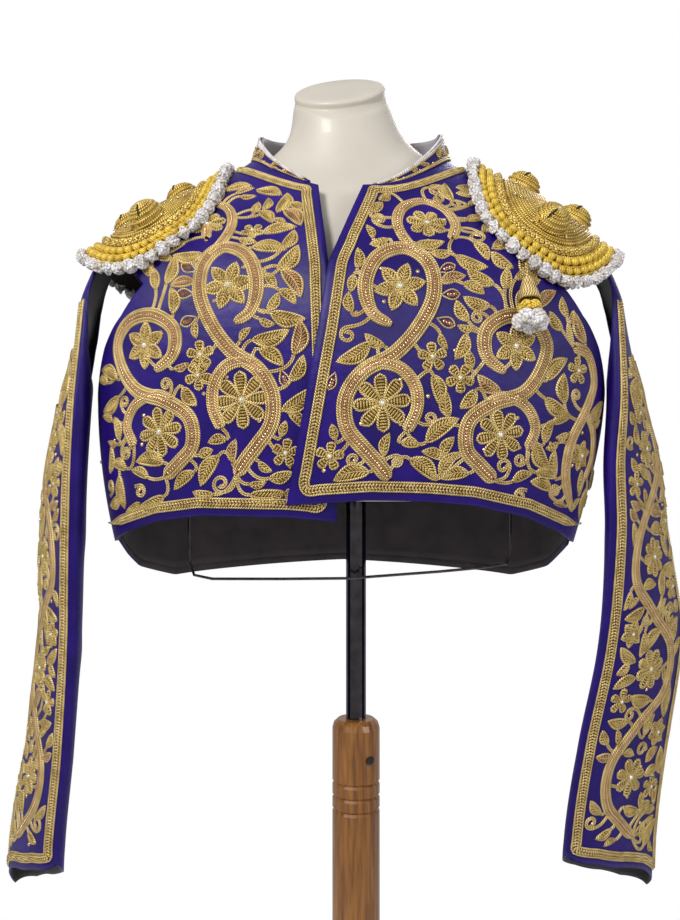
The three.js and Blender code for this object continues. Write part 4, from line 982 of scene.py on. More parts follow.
def bow(r, n):
    """Cross-section of a cord that lies on cloth: an arch of n + 1 points."""
    return [(r * math.cos(t), 1.5 * r * math.sin(t)) for t in np.linspace(math.pi, 0, n + 1)]


# %% [markdown]
# ## The stitches
# Goldwork is built from a few stitches, so each is one call that adds faces to the panel's list:
# a couched cord or padded band (run), short pieces of coiled wire laid side by side (purl), and
# sequins, beads and crystals (dots). Petals, leaves, curls, bands and braids are made from these.

# %% The stitches
class Stitches:
    """The faces of one embroidered piece, gathered flat on a board."""

    def __init__(self, board):
        self.board, self.flat, self.faces, self.uv, self.mat, self.count = board, [], [], [], [], 0

    def add(self, flat, quads, uv, mat):
        flat = flat.reshape(-1, 3)
        quads = np.asarray(quads).reshape(-1, 4)
        self.flat.append(flat)
        self.faces.append(quads + self.count)
        self.uv.append(uv.reshape(-1, 2))
        self.mat.append(np.full(len(quads), mat))
        self.count += len(flat)

    def run(self, path, profile, mat, lift=0.0, scale=None, closed=False):
        """A cross-section drawn along a line on the cloth."""
        path = np.asarray(path, float)
        if closed:
            d = unit(np.roll(path, -1, 0) - np.roll(path, 1, 0))
            path, d = np.concatenate([path, path[:1]]), np.concatenate([d, d[:1]])
        else:
            d = unit(np.gradient(path, axis=0))
        side = right_of(d)
        prof = np.asarray(profile, float)
        k = np.ones(len(path)) if scale is None else scale
        flat = np.empty((len(path), len(prof), 3))
        flat[..., :2] = path[:, None] + side[:, None] * (prof[None, :, :1] * k[:, None, None])
        flat[..., 2] = lift + prof[None, :, 1] * k[:, None]
        u, v = np.meshgrid(lengths_along(path), np.linspace(0, 1, len(prof)), indexing="ij")
        self.add(flat, faces_of(len(path), len(prof)), np.stack([u, v], -1), mat)

    def cord(self, path, r, mat=CORD, lift=0.0, closed=False, scale=None, n=4):
        self.run(path, bow(r, n=n), mat, lift, scale, closed)

    def purl(self, a, b, r, mat=PURL, lift=0.0, arch=0.8):
        """Short rods from a to b, arched over the padding."""
        a, b = np.asarray(a, float).reshape(-1, 2), np.asarray(b, float).reshape(-1, 2)
        if not len(a):
            return
        side = right_of(unit(b - a))
        t = np.array([0, .2, .8, 1])
        wide, up = np.array([.5, 1, 1, .5]) * r, np.array([0, 1, 1, 0]) * arch
        across, high = np.array([-1, 0, 1]), np.array([0, 1.6, 0]) * r
        flat = np.empty((len(a), 4, 3, 3))
        centre = a[:, None] + (b - a)[:, None] * t[None, :, None]
        spread = (wide[None, :, None] * across[None, None])[..., None]
        flat[..., :2] = centre[:, :, None] + side[:, None, None] * spread
        flat[..., 2] = lift + up[None, :, None] + high[None, None] * (wide / r)[None, :, None]
        u = np.linalg.norm(b - a, axis=1)[:, None, None] * t[None, :, None] + np.arange(len(a))[:, None, None] * 0.37
        uv = np.stack([u + np.zeros((1, 1, 3)), np.zeros_like(u) + np.linspace(0, 1, 3)], -1)
        self.add(flat, faces_of(len(a), 4, 3), uv, mat)

    def dots(self, centres, profile, mat, lift=0.0, sides=8, stretch=1.0, heading=None):
        """Small round things: profile is (radius, height) from the rim to the middle."""
        c = np.asarray(centres, float).reshape(-1, 2)
        prof = np.asarray(profile, float)
        a = 2 * math.pi * np.arange(sides) / sides
        ring = np.stack([np.cos(a) * stretch, np.sin(a)], -1)
        xy = prof[:, None, :1] * ring[None]   # by profile point, side and direction
        if heading is None:
            xy = np.broadcast_to(xy, (len(c),) + xy.shape)
        else:
            heading = np.broadcast_to(heading, (len(c),))
            co, si = np.cos(heading)[:, None, None], np.sin(heading)[:, None, None]
            xy = np.stack([xy[None, ..., 0] * co - xy[None, ..., 1] * si,
                           xy[None, ..., 0] * si + xy[None, ..., 1] * co], -1)
        flat = np.empty((len(c), len(prof), sides, 3))
        flat[..., :2] = c[:, None, None] + xy
        flat[..., 2] = lift + prof[None, :, 1][..., None]
        uv = np.array(np.broadcast_to(xy, flat.shape[:-1] + (2,)))
        self.add(flat, faces_of(len(c), len(prof), sides, ring=True), uv, mat)

    def pipe(self, path, r, mat, sides=6, closed=False, ref=(0, 0, 1)):
        """A round cord along a line in s, w and h."""
        path = np.asarray(path, float)
        if closed:
            d = unit(np.roll(path, -1, 0) - np.roll(path, 1, 0))
        else:
            d = unit(np.gradient(path, axis=0))
        ref = np.broadcast_to(np.asarray(ref, float), path.shape)
        side = unit(np.cross(d, ref))
        up = np.cross(side, d)
        if closed:
            path, side, up = (np.concatenate([m, m[:1]]) for m in (path, side, up))
        a = -math.pi / 2 - 2 * math.pi * np.arange(sides + 1) / sides
        flat = (path[:, None] + side[:, None] * (r * np.cos(a))[None, :, None]
                + up[:, None] * (r * np.sin(a))[None, :, None])
        u, v = np.meshgrid(lengths_along(path), np.linspace(0, 1, sides + 1), indexing="ij")
        self.add(flat, faces_of(len(path), sides + 1), np.stack([u, v], -1), mat)

    def build(self, name, nodes=(), slot="gold_scroll"):
        """Lays everything on the board's surface, as one piece in place of the named nodes."""
        flat = np.concatenate(self.flat)
        mesh = mesh_of(name, self.board.lay(flat), np.concatenate(self.faces), uv=np.concatenate(self.uv),
                       quad_mat=np.concatenate(self.mat), materials=THREADS)
        print(name, "faces", sum(len(f) for f in self.faces))
        return link(name, mesh, nodes)


def way(angle):
    """The direction at an angle on the board."""
    return np.array([math.cos(angle), math.sin(angle)])


def leaf_shape(t, kind):
    """Half width, as a part of the widest, at each place from the foot to the tip."""
    if kind == "petal":
        return (np.clip(t, 0, 1) ** 0.62) * np.sqrt(np.clip(1 - t ** 4, 0, 1)) * 1.12
    return np.sin(math.pi * np.clip(t, 0, 1) ** 0.9) ** 0.85


def petal(st, base, angle, length, width, kind="petal", fill=PURL, bend=0.0):
    """A padded petal or leaf: coiled wire laid across it, or in a herringbone, and a cord round it."""
    d, half = way(angle), width / 2
    n = np.array([-d[1], d[0]])
    spine = lambda t: (np.asarray(base) + d * (length * t)[:, None]
                       + n * (bend * length * np.sin(math.pi * t))[:, None])
    t = np.linspace(0, 1, 9)
    edge_r = max(0.65, min(1.15, width * 0.1))
    left = spine(t) + n * (half * leaf_shape(t, kind))[:, None]
    right = spine(t) - n * (half * leaf_shape(t, kind))[:, None]
    rows = np.stack([right, spine(t), left], 1)
    pad = np.concatenate([rows, np.broadcast_to(np.array([0.25, 1.0, 0.25])[None, :, None], (9, 3, 1))], -1)
    # the padding, dark as painted shade in the gaps between the wires
    st.add(pad, faces_of(9, 3)[..., ::-1], pad[..., :2], GROUND_SHADE)
    step = (2.6 if kind == "petal" else 3.0) / length
    k = np.arange(0.12, 0.93, step)
    inner = half - edge_r
    if kind == "petal":
        a = spine(k) + n * (inner * leaf_shape(k, kind))[:, None] * 0.92
        b = spine(k) - n * (inner * leaf_shape(k, kind))[:, None] * 0.92
        st.purl(a, b, 0.82, fill, 0.5, 0.8)
    else:
        for s in (1, -1):
            far = np.clip(k + 0.32 * width / length, 0, 0.97)
            a = spine(k) + n * s * 0.35
            b = spine(far) + n * (s * inner * leaf_shape(far, kind))[:, None] * 0.95
            st.purl(a, b, 0.84, fill, 0.5, 0.45)
        st.cord(spine(np.linspace(0.02, 0.98, 8)), 0.6, CORD, 1.0, n=3)
    rim = np.concatenate([right[:-1], left[::-1][:-1]])
    st.cord(rim, edge_r, CORD, 0.15, closed=True, n=3)


def flower(st, centre, count, length, width, turn, inner, pointed=False):
    """Petals or leaves round a ring of cord and a crystal."""
    centre = np.asarray(centre, float).reshape(2)
    for k in range(count):
        a = turn + 2 * math.pi * k / count
        petal(st, centre + way(a) * inner, a, length, width, "leaf" if pointed else "petal")
    ring = centre + np.array([way(a) for a in np.linspace(0, 2 * math.pi, 10, endpoint=False)]) * inner
    st.cord(ring, 0.8, CORD, 1.1, closed=True, n=3)
    st.dots([centre], [(inner * .85, 1.2), (inner * .8, 2.3), (inner * .45, 3.1), (0.02, 3.3)], GLASS, sides=8)


def double(st, path, gap, r):
    """Two cords side by side along a line."""
    for s in (1, -1):
        st.cord(aside(path, s * gap), r, CORD, n=3)


def curl(st, start, heading, r, hand, turns, stem):
    """A stem that winds into a small spiral round a sequin."""
    pos, head, line = np.asarray(start, float).reshape(2).copy(), heading, []
    if stem:
        for t in np.linspace(0, 1, max(2, int(stem / 1.6)), endpoint=False):
            line.append(pos + way(heading) * stem * t)
        pos = pos + way(heading) * stem
    total = turns * 2 * math.pi
    n = max(12, int(turns * 15))
    for k in range(n + 1):
        line.append(pos.copy())
        rho = r * (1 - 0.72 * k / n)
        step = total / n
        pos = pos + way(head + hand * step / 2) * rho * step
        head += hand * step
    line = np.array(line)
    double(st, line, 0.95, 0.85)
    middle = line[-8:].mean(0)
    st.dots([middle], [(1.7, .3), (1.6, .9), (0.6, .7), (0.5, 1.5), (0.02, 1.7)], SEQUIN, sides=8)


def drop(st, base, angle, length, width):
    """A teardrop loop of cord with three sequins in it."""
    t = np.linspace(0, 1, 8)
    d = way(angle)
    n = np.array([-d[1], d[0]])
    half = width / 2 * np.sin(math.pi * t ** 1.4) ** 0.8
    mid = np.asarray(base) + d * (length * t)[:, None]
    rim = np.concatenate([mid - n * half[:, None], (mid + n * half[:, None])[::-1][1:-1]])
    st.cord(rim, 0.75, CORD, 0.1, closed=True, n=3)
    for f in (0.45, 0.62, 0.78):
        st.dots([np.asarray(base) + d * length * f], [(width * .26, .5), (width * .24, 1.0), (0.4, .7), (0.02, 1.3)],
                BRONZE_, sides=7)


def band(st, path, half):
    """A padded band: a soft ridge, cords along both edges and between, and sequins down the middle."""
    t = np.linspace(0, 1, len(path))
    thin = np.clip(0.62 + 0.38 * ease(t / 0.12), 0, 1) * np.sqrt(np.clip((1 - t) / 0.018 + 0.1, 0.1, 1))
    thin = thin * np.sqrt(np.clip(t / 0.018 + 0.1, 0.1, 1))
    ridge = [(-1, 0), (-.9, .3), (-.55, .78), (0, 1), (.55, .78), (.9, .3), (1, 0)]
    # the ridge, dark as painted shade between the cords
    st.run(path, [(a * half * .96, 0.2 + b * 2.0) for a, b in ridge], GROUND_SHADE, 0.1, thin)
    for place, r, mat, lift in ((.9, 1.1, CORD, .15), (.7, .5, COPPER_, 1.3), (.52, 1.05, CORD, 1.3),
                                (.25, .5, COPPER_, 2.2)):
        for s in (1, -1):
            st.cord(aside(path, s * place * half * thin), r, mat, lift, n=3 if mat == CORD else 2)
    length = lengths_along(path)
    spots = at_lengths(path, length, np.arange(3, length[-1] - 3, 2.9))
    st.dots(spots, [(1.3, 0), (1.25, .45), (0.02, .75)], SEQUIN, 2.1, sides=6)


def braid(st, path):
    """A flat braid: two edge cords and a slanting plait between them."""
    half = 4.5
    # the base, dark as painted shade between the plaits
    st.run(path, [(-half * .9, .35), (-half * .5, 1.0), (0, 1.1), (half * .5, 1.0), (half * .9, .35)], GROUND_SHADE, 0.2)
    for s in (1, -1):
        st.cord(aside(path, s * half * .86), 0.95, CORD, 0.5, n=3)
    length = lengths_along(path)
    marks = np.arange(1, length[-1] - 3, 3.0)
    d = unit(np.gradient(path, axis=0))

    def place(at, across):
        return at_lengths(path, length, at) + right_of(unit(at_lengths(d, length, at))) * across

    for s in (1, -1):
        st.purl(place(marks, s * half * .02), place(marks + 2.6, s * half * .62), 0.9, CORD, 1.0, 0.4)

# %% [markdown]
# ## Embroidery of the fronts
# The pattern is an old one: a long S-shaped scroll climbs from the hem, curls round a flower at
# every turn and carries leaves, buds and small spirals. It is drawn by its places on the wearer's
# left front and mirrored, slightly shifted, on the right one, because the fronts lap. Each motif is
# sewn only where the ground is still free. At the end, smaller leaves and spirals fill what is left.

# %% Embroidery of the fronts
# the long scrolls, by their places x, z on the wearer's left front
SCROLLS = [
    [(28, 1252), (12, 1262), (6, 1288), (18, 1314), (42, 1322), (62, 1308), (66, 1280), (52, 1250), (30, 1226),
    (4, 1211), (-11, 1189), (-10, 1163), (4, 1145), (16, 1132), (26, 1119)], [(128, 1212), (112, 1226),
    (112, 1248), (132, 1262), (156, 1258), (168, 1238), (162, 1214), (146, 1194), (118, 1184), (96, 1168),
    (94, 1144), (106, 1130), (119, 1117)]]
# side branches: places, half width
BRANCHES = [
    ([(57, 1314), (42, 1330), (35, 1348), (42, 1364), (60, 1370), (78, 1363), (88, 1347), (84, 1332)], 4.6),
    ([(-2, 1208), (16, 1218), (36, 1214), (49, 1198), (50, 1178), (41, 1160)], 5.2), ([(112, 1186),
    (130, 1190), (149, 1181), (157, 1163), (150, 1145)], 4.6), ([(196, 1092), (189, 1122), (194, 1152),
    (209, 1180), (219, 1206), (212, 1232), (196, 1238)], 5.0), ([(209, 1180), (219, 1160), (219, 1136),
    (212, 1118)], 3.8)]
# x, z, petals, petal length, petal width, turn, pointed
FLOWERS = [
    (62, 1347, 7, 11, 8.2, .3, False), (36, 1286, 6, 14, 8, .2, True), (20, 1184, 8, 15.5, 9, .1, False),
    (139, 1235, 6, 13, 7.6, .5, True), (124, 1157, 8, 13.5, 8, .2, False), (64, 1224, 5, 7.6, 6.6, .4, False),
    (-25, 1138, 5, 7.2, 6.4, .2, False), (12, 1337, 5, 6.4, 5.6, .9, False),
    (88, 1206, 5, 7.6, 6.6, 1.0, False), (205, 1139, 6, 8.5, 6, .3, True), (200, 1216, 5, 7.5, 6, .3, False)]
# x, z, direction, length, width, bend, darker
LEAVES = [
    (10, 1236, 165, 24, 9, .12, 0), (2, 1228, 215, 18, 8, -.1, 0), (64, 1209, 285, 20, 8, .1, 0),
    (58, 1150, 15, 25, 9.5, .1, 0), (44, 1136, 300, 22, 9, .12, 0), (36, 1150, 350, 12, 6, .1, 0),
    (-16, 1128, 205, 13, 6.5, .1, 0), (-8, 1116, 165, 15, 7, .1, 0), (-20, 1152, 60, 10, 5, 0, 0),
    (72, 1290, 40, 17, 7, .1, 1), (86, 1316, 340, 22, 8, -.12, 0), (78, 1312, 300, 20, 7.5, .12, 1),
    (12, 1356, 100, 13, 6, 0, 0), (26, 1330, 200, 12, 6, .1, 0), (96, 1256, 120, 15, 7, .1, 0),
    (102, 1196, 160, 15, 7.5, .1, 0), (98, 1214, 100, 12, 6, 0, 0), (168, 1206, 20, 22, 8.5, .1, 0),
    (166, 1190, 335, 22, 8.5, -.1, 0), (156, 1176, 300, 14, 6.5, .1, 0), (92, 1150, 150, 22, 9, .12, 0),
    (88, 1136, 115, 10, 6, 0, 0), (146, 1130, 60, 15, 7, .1, 0), (120, 1290, 150, 20, 8, .1, 0),
    (130, 1286, 80, 15, 7, 0, 0), (162, 1272, 40, 18, 7.5, .1, 1), (186, 1186, 165, 19, 9, .1, 0),
    (178, 1120, 100, 18, 6.5, .1, 0), (206, 1104, 75, 16, 6, 0, 0), (184, 1252, 130, 15, 7, .1, 0),
    (-14, 1176, 250, 13, 5.5, 0, 1), (-22, 1196, 80, 12, 5, 0, 0), (-6, 1262, 120, 13, 6, .1, 0),
    (-4, 1296, 260, 12, 5.5, 0, 0), (8, 1310, 120, 12, 6, .1, 0), (28, 1376, 190, 12, 5.5, .1, 0),
    (98, 1352, 20, 16, 7, .1, 0), (92, 1382, 350, 15, 7, .1, 0), (66, 1386, 20, 12, 5.5, 0, 0),
    (104, 1330, 300, 17, 7, .1, 0), (92, 1290, 20, 15, 7, .1, 0), (82, 1250, 80, 15, 6.5, .1, 0),
    (78, 1172, 120, 16, 7, .1, 0), (70, 1122, 30, 18, 7, .1, 0), (72, 1138, 60, 14, 6.5, .1, 0),
    (136, 1116, 20, 15, 6, .1, 0), (158, 1124, 10, 18, 7, .1, 0), (166, 1150, 70, 16, 7, .1, 0),
    (174, 1168, 60, 14, 6, .1, 0), (180, 1204, 80, 14, 6.5, .1, 0), (190, 1264, 60, 14, 6, .1, 0),
    (146, 1286, 30, 16, 7, .1, 0), (100, 1272, 150, 15, 7, -.1, 0), (0, 1228, 130, 12, 6, .1, 0)]
# x, z, heading, radius, hand, stem
CURLS = [
    (48, 1342, 250, 4.2, 1, 4), (24, 1266, 150, 4.2, -1, 6), (40, 1262, 290, 4.0, 1, 5),
    (-4, 1250, 190, 4.6, 1, 6), (-6, 1214, 140, 4.4, -1, 5), (66, 1240, 60, 4.6, -1, 4),
    (52, 1150, 110, 4.0, 1, 4), (34, 1126, 20, 5.6, 1, 14), (-18, 1166, 120, 4.4, 1, 6),
    (96, 1228, 150, 4.2, -1, 4), (88, 1242, 80, 4.2, 1, 6), (152, 1222, 300, 4, 1, 3),
    (168, 1170, 330, 4.8, -1, 8), (104, 1128, 170, 6.0, -1, 16), (132, 1128, 350, 5.2, -1, 10),
    (170, 1130, 200, 4.6, 1, 6), (176, 1226, 110, 5.0, -1, 8), (8, 1322, 230, 4.2, 1, 4),
    (18, 1366, 20, 4.4, 1, 4), (96, 1372, 160, 4.0, 1, 4), (96, 1344, 320, 4.2, -1, 4),
    (116, 1276, 210, 4.2, -1, 4), (222, 1090, 100, 4.2, 1, 5), (180, 1098, 150, 4.4, -1, 6),
    (-2, 1274, 200, 3.6, -1, 4), (80, 1218, 20, 4.2, 1, 4), (72, 1188, 40, 4.4, -1, 6),
    (84, 1122, 150, 4.6, 1, 6), (110, 1360, 60, 4.4, -1, 6), (54, 1384, 200, 3.6, 1, 3),
    (76, 1268, 330, 4.4, 1, 5), (166, 1290, 200, 4.2, 1, 5), (186, 1240, 250, 4, 1, 4),
    (150, 1108, 170, 3.8, 1, 5), (0, 1148, 230, 3.4, 1, 3)]
# x, z, direction, length, width
DROPS = [
    (70, 1300, 25, 15, 8), (72, 1279, 5, 15, 8), (68, 1258, 340, 15, 8), (-20, 1210, 250, 14, 7)]
# single sequins: x, z
SPARKS = [
    (20, 1302), (52, 1300), (22, 1272), (50, 1272), (4, 1204), (36, 1204), (2, 1166), (36, 1166), (44, 1186),
    (-4, 1184), (124, 1246), (152, 1246), (128, 1226), (150, 1224), (108, 1172), (140, 1172), (110, 1144),
    (142, 1146), (78, 1352), (48, 1352), (62, 1330), (16, 1180), (60, 1190), (206, 1160), (196, 1130),
    (-2, 1262), (84, 1230), (100, 1184), (172, 1150), (-30, 1126)]


def mirrored(side, x, z):
    """The same place on the other front, which is narrower near the middle."""
    return (x, z) if side > 0 else ((-x - 52 if x > 80 else -0.85 * x - 84), z + 3)


def scroll_pattern(st, place, turn, scrolls, branches, flowers, leaves, curls, drops, sparks, fits, area,
                   halves=6.5, near=lambda points: True, big=1.4):
    """Lays a whole pattern: place gives the board point of a design point, turn its direction.

    fits tells whether board points are inside the panel's braid, near whether design points are on this
    panel at all. area is the ground to fill: x and z from and to, both steps, then the leaf sizes.
    """
    hand_of = 1 if turn(0) == 0 else -1
    lines, taken = [], [np.array([[1e6, 1e6, 1.0]])]

    def take(points, r):
        """Marks the ground round these points as used."""
        taken[0] = np.vstack([taken[0], np.column_stack([points, np.full(len(points), r)])])

    def free(points, r):
        t = taken[0]
        return bool((np.hypot(*(points[:, None] - t[None, :, :2]).transpose(2, 0, 1)) - t[None, :, 2]).min() > r)

    def stem(base, angle, longest=34.0):
        """A bent double stem from a motif's foot back to the nearest band."""
        near_by = lines[0][np.hypot(*(lines[0] - base).T).argmin()]
        far = np.hypot(*(near_by - base))
        if 2.0 < far < longest:
            q = np.linspace(0, 1, max(4, int(far / 3)))[:, None]
            hold = base - way(angle) * far * 0.5
            double(st, base * (1 - q) ** 2 + hold * 2 * q * (1 - q) + near_by * q * q, 0.85, 0.8)
            take(base + (near_by - base) * np.array([[.2], [.5]]), 0.6)

    def leaf(base, angle, length, width, bend, dark, swings=(0, 22, -22, 45, -45, 70, -70), gap=0.0):
        """A leaf in the first of the swings from its angle that is free."""
        for swing in swings:
            a = angle + swing * DEG
            spots = base + way(a) * (length * np.array([[.3], [.62], [.92]]))
            ends = np.array([base, base + way(a) * length])
            if free(spots[:2], width * 0.42 + gap) and free(spots[2:], 1.5 + gap) and fits(ends):
                petal(st, base, a, length, width, "leaf", COPPER_ if dark else PURL, bend * hand_of)
                take(spots[:2], width * 0.46)
                take(spots[2:], 1.2)
                stem(base, a)
                return 1
        return 0

    def spiral(base, angle, r, hand, tail):
        middle = base + way(angle) * tail + way(angle + hand * math.pi / 2) * r * 0.8
        if not (free(middle[None], r * 0.9 + 1) and fits(np.array([middle, middle + way(angle) * r]))):
            return 0
        curl(st, base, angle, r, hand, 1.2, tail)
        take(middle[None], r + 1.5)
        stem(base, angle)
        return 1

    for points, half in [(p, halves) for p in scrolls] + list(branches):
        if points in scrolls or (near(points) and fits(place(points))):
            line = smooth_line(place(points), 2.6)
            band(st, line, half)
            lines.append(line)
            take(line, half + 0.6)
    lines[:] = [np.concatenate(lines)]
    for x, z, count, length, width, start, pointed in flowers:
        centre = place([(x, z)])[0]
        length, width = length * (1.42 if length > 9 else big), width * (1.4 if length > 9 else big)
        if near([(x, z)]) and fits(np.array([centre + (length + 1) * way(a) for a in (0, 1.57, 3.14, 4.71)])):
            stem(centre, math.pi / 2, 42)
            flower(st, centre, count, length, width, start, 2.8 if length > 13 else 2.1, pointed)
            take(centre[None], length + 1.5)
    for x, z, heading, length, width in drops:
        foot, a = place([(x, z)])[0], turn(heading)
        drop(st, foot, a, length * 1.15, width * 1.2)
        take(foot + way(a) * (length * np.array([[.4], [.8]])), width * 0.55)
    done = 0
    for x, z, heading, length, width, bend, dark in sorted(leaves, key=lambda m: -m[3]):
        if near([(x, z)]):
            done += leaf(place([(x, z)])[0], turn(heading), length * big, width * big, bend, dark)
    for x, z, heading, r, hand, tail in curls:
        if near([(x, z)]):
            done += spiral(place([(x, z)])[0], turn(heading), r * 1.45, hand * hand_of, tail)
    x0, x1, z0, z1, dx, dz, *sizes = area
    x, z = np.meshgrid(np.arange(x0, x1, dx), np.arange(z0, z1, dz))
    spots = np.column_stack([x.ravel(), z.ravel()])
    np.random.default_rng(7).shuffle(spots)
    spots = [c for c in place([c for c in spots if near([c])]) if fits(c[None])]
    for size in sizes:
        for k, c in enumerate(spots):
            if not free(c[None], size * 0.24):
                continue
            foot, hand = lines[0][np.hypot(*(lines[0] - c).T).argmin()], 1 if k % 2 else -1
            out = math.atan2(*(c - foot)[::-1]) + 0.6 * hand
            if k % 5 < 2 and size < 26:
                done += spiral(c - way(out) * size * 0.3, out, size * 0.26 + 1.2, hand, size * 0.15)
            else:
                done += leaf(c - way(out) * size * 0.5, out, size, size * 0.42, 0.12 * hand, k % 7 == 3,
                             (0, 30, -30), 0.9)
    st.dots(place(sparks), [(1.9, .2), (1.8, .8), (.5, .6), (.45, 1.4), (.02, 1.6)], SEQUIN, sides=7)
    print("leaves and spirals:", done)


def sew_braid(board, line, name, step=1):
    """A braid along a line of values on the board, in place of the galon of that name."""
    trim = Stitches(board)
    braid(trim, smooth_line(board.at_values(*np.asarray(line).T)[::step], 2.0))
    trim.build(f"braid_{name}", [f"galon_{name}"], "gold_braid")


def front_galon(side):
    """Angles and levels of the front's braid: along the neck, down the edge and along the hem."""
    inset = lambda level: angle_at_x(level, body(front_edge(side, level), level)[..., 0] + side * BRAID_IN)
    top, t = 9.70, np.arange(36) / 36
    start, corner = side * 76 * DEG, float(inset(np.asarray(top)))
    neck = np.stack([start + (corner - start) * t, 9.66 + .04 * t], -1)
    low = 2.0
    for _ in range(6):
        low = float(front_hem(side, inset(np.asarray(low)))) + BRAID_UP
    level = np.linspace(top, low, 120)
    angle = np.linspace(float(inset(np.asarray(low))), side * 87.5 * DEG, 121)[1:]
    return np.concatenate([neck, np.stack([inset(level), level], -1),
                           np.stack([angle, front_hem(side, angle) + BRAID_UP], -1)])


BRAID_IN, BRAID_UP = 12, 12 / 50   # from the cloth's edge: in millimetres, and in levels above a hem
LEVELS = np.arange(1.55, 10.001, 0.05)
TURNS = np.linspace(-98, 98, 245) * DEG
for side in (1, -1):
    name = SIDE_NAME[side]
    angle, level = np.meshgrid(TURNS, LEVELS)
    board = Board(raised(angle, level, CLOTH, side, FOLDS[name]), TURNS, LEVELS)
    sew_braid(board, front_galon(side), f"front_{name}", 3)
    st = Stitches(board)
    place = lambda points: board.at(*np.array([mirrored(side, x, z) for x, z in points]).T)
    turn = (lambda deg: deg * DEG) if side > 0 else (lambda deg: math.pi - deg * DEG)

    def fits(points):
        i, j = board.find(board.s, board.w, points[:, 0], points[:, 1])
        angle, level = side * (TURNS[0] + j * (TURNS[1] - TURNS[0])), LEVELS[0] + i * 0.05
        x, z = board.sample(board.points[..., 0], i, j), board.sample(board.points[..., 2], i, j)
        edge = np.interp(z, *EDGE[side]) + side * 17
        return bool(np.all((angle < math.pi / 2 - armhole(level, 1) - 3.5 * DEG) & (angle < 85 * DEG)
                           & (side * (x - edge) > 0) & (level < 9.5) & (z > np.interp(x, *HEM[side]) + 17)))

    scroll_pattern(st, place, turn, SCROLLS, BRANCHES, FLOWERS, LEAVES, CURLS, DROPS, SPARKS, fits,
                   (-36, 234, 1094, 1396, 10, 9, 31, 25, 20, 15),
                   near=lambda points: max(abs(mirrored(side, *p)[0]) for p in points) < 236)
    st.build(f"embroidery_front_{name}", [f"scroll_front_{name}_inner", f"scroll_front_{name}_outer"])

# %% [markdown]
# ## Embroidery of the back
# The back has three scrolls, one up the middle and one each side, with the same flowers. The tables
# give the middle and one side, and the other side is that one mirrored about x = -5.

# %% Embroidery of the back
BACK_SCROLLS = [
    [(96, 1270), (82, 1290), (92, 1312), (116, 1316), (132, 1296), (126, 1266), (100, 1236), (70, 1214),
    (52, 1184), (56, 1146), (84, 1116), (104, 1090), (112, 1060)], [(-2, 1378), (-26, 1366), (-34, 1340),
    (-20, 1312), (6, 1290), (20, 1258), (6, 1224), (-22, 1198), (-32, 1162), (-14, 1126), (0, 1096),
    (0, 1062)]]
half_flowers = [
    (108, 1291, 6, 12, 7.5, .2, True), (86, 1172, 8, 16, 9, .1, False), (60, 1270, 5, 9, 7.5, .3, False),
    (140, 1150, 7, 12, 8, .2, False), (64, 1086, 5, 10, 8, .3, False), (168, 1220, 6, 10, 7, .2, True),
    (60, 1330, 6, 10, 7, .2, False)]
half_leaves = [
    (128, 1240, 30, 24, 9, .1, 0), (112, 1226, 330, 22, 9, -.1, 0), (54, 1206, 160, 18, 8, .1, 0),
    (110, 1140, 20, 22, 9, .1, 0), (48, 1130, 200, 20, 8, .1, 0), (124, 1100, 40, 24, 9, .1, 0),
    (96, 1072, 190, 18, 8, .1, 0), (134, 1080, 20, 22, 9, .1, 0), (140, 1310, 50, 18, 8, .1, 0),
    (74, 1306, 150, 16, 7, .1, 1), (176, 1150, 100, 22, 9, .1, 0), (170, 1100, 80, 20, 8, .1, 0)]
half_curls = [
    (66, 1240, 130, 6, -1, 8), (136, 1270, 20, 6, 1, 8), (64, 1160, 60, 5, 1, 6), (120, 1170, 350, 6, -1, 10),
    (60, 1110, 240, 6, -1, 8), (132, 1120, 330, 6, 1, 8), (80, 1340, 40, 5, 1, 6), (150, 1200, 200, 5, 1, 6)]
half_sparks = [
    (90, 1282), (124, 1300), (72, 1180), (100, 1186), (76, 1158), (150, 1170), (128, 1210), (60, 1296),
    (152, 1250), (110, 1118), (160, 1120), (44, 1100), (150, 1070)]
MIDDLE_FLOWERS = [(-6, 1343, 6, 12, 7, .2, True), (-10, 1256, 7, 13, 8, .1, False), (-2, 1162, 8, 15, 9, .2, False)]
both = lambda rows: rows + [(-r[0] - 10, r[1]) + tuple(r[2:]) for r in rows]
back_angles, back_levels = np.linspace(82, 278, 261) * DEG, np.arange(0.25, 10.001, 0.05)
angle, level = np.meshgrid(back_angles, back_levels)
board = Board(raised(angle, level, CLOTH, -1, FOLDS["back"]), back_angles, back_levels)
line = np.linspace(92.5, 267.5, 60) * DEG
sew_braid(board, np.stack([line, back_hem(line) + BRAID_UP], -1), "back")
st = Stitches(board)


def on_panel(points):
    angle, level = board.values(points)
    side_cut = armhole(level, 2) + 7 * DEG
    return bool(np.all((angle > math.pi / 2 + side_cut) & (angle < 3 * math.pi / 2 - side_cut)
                       & (level > back_hem(angle) + 0.5) & (level < 9.3)))


other_leaves = [(-x - 10, z, 180 - a, length, width, -bend, dark)
                for x, z, a, length, width, bend, dark in half_leaves]
other_curls = [(-x - 10, z, 180 - a, r, -hand, tail) for x, z, a, r, hand, tail in half_curls]
scroll_pattern(st, lambda points: board.at(*np.array(points, float).T), lambda deg: math.pi - deg * DEG,
               BACK_SCROLLS + [[(-x - 10, z) for x, z in BACK_SCROLLS[0]]], [], both(half_flowers) + MIDDLE_FLOWERS,
               half_leaves + other_leaves, half_curls + other_curls, [], both(half_sparks), on_panel,
               (-196, 186, 1050, 1392, 15, 13, 36, 28), big=1.1)
st.build("embroidery_back", ["scroll_back_left", "scroll_back_middle", "scroll_back_right"])

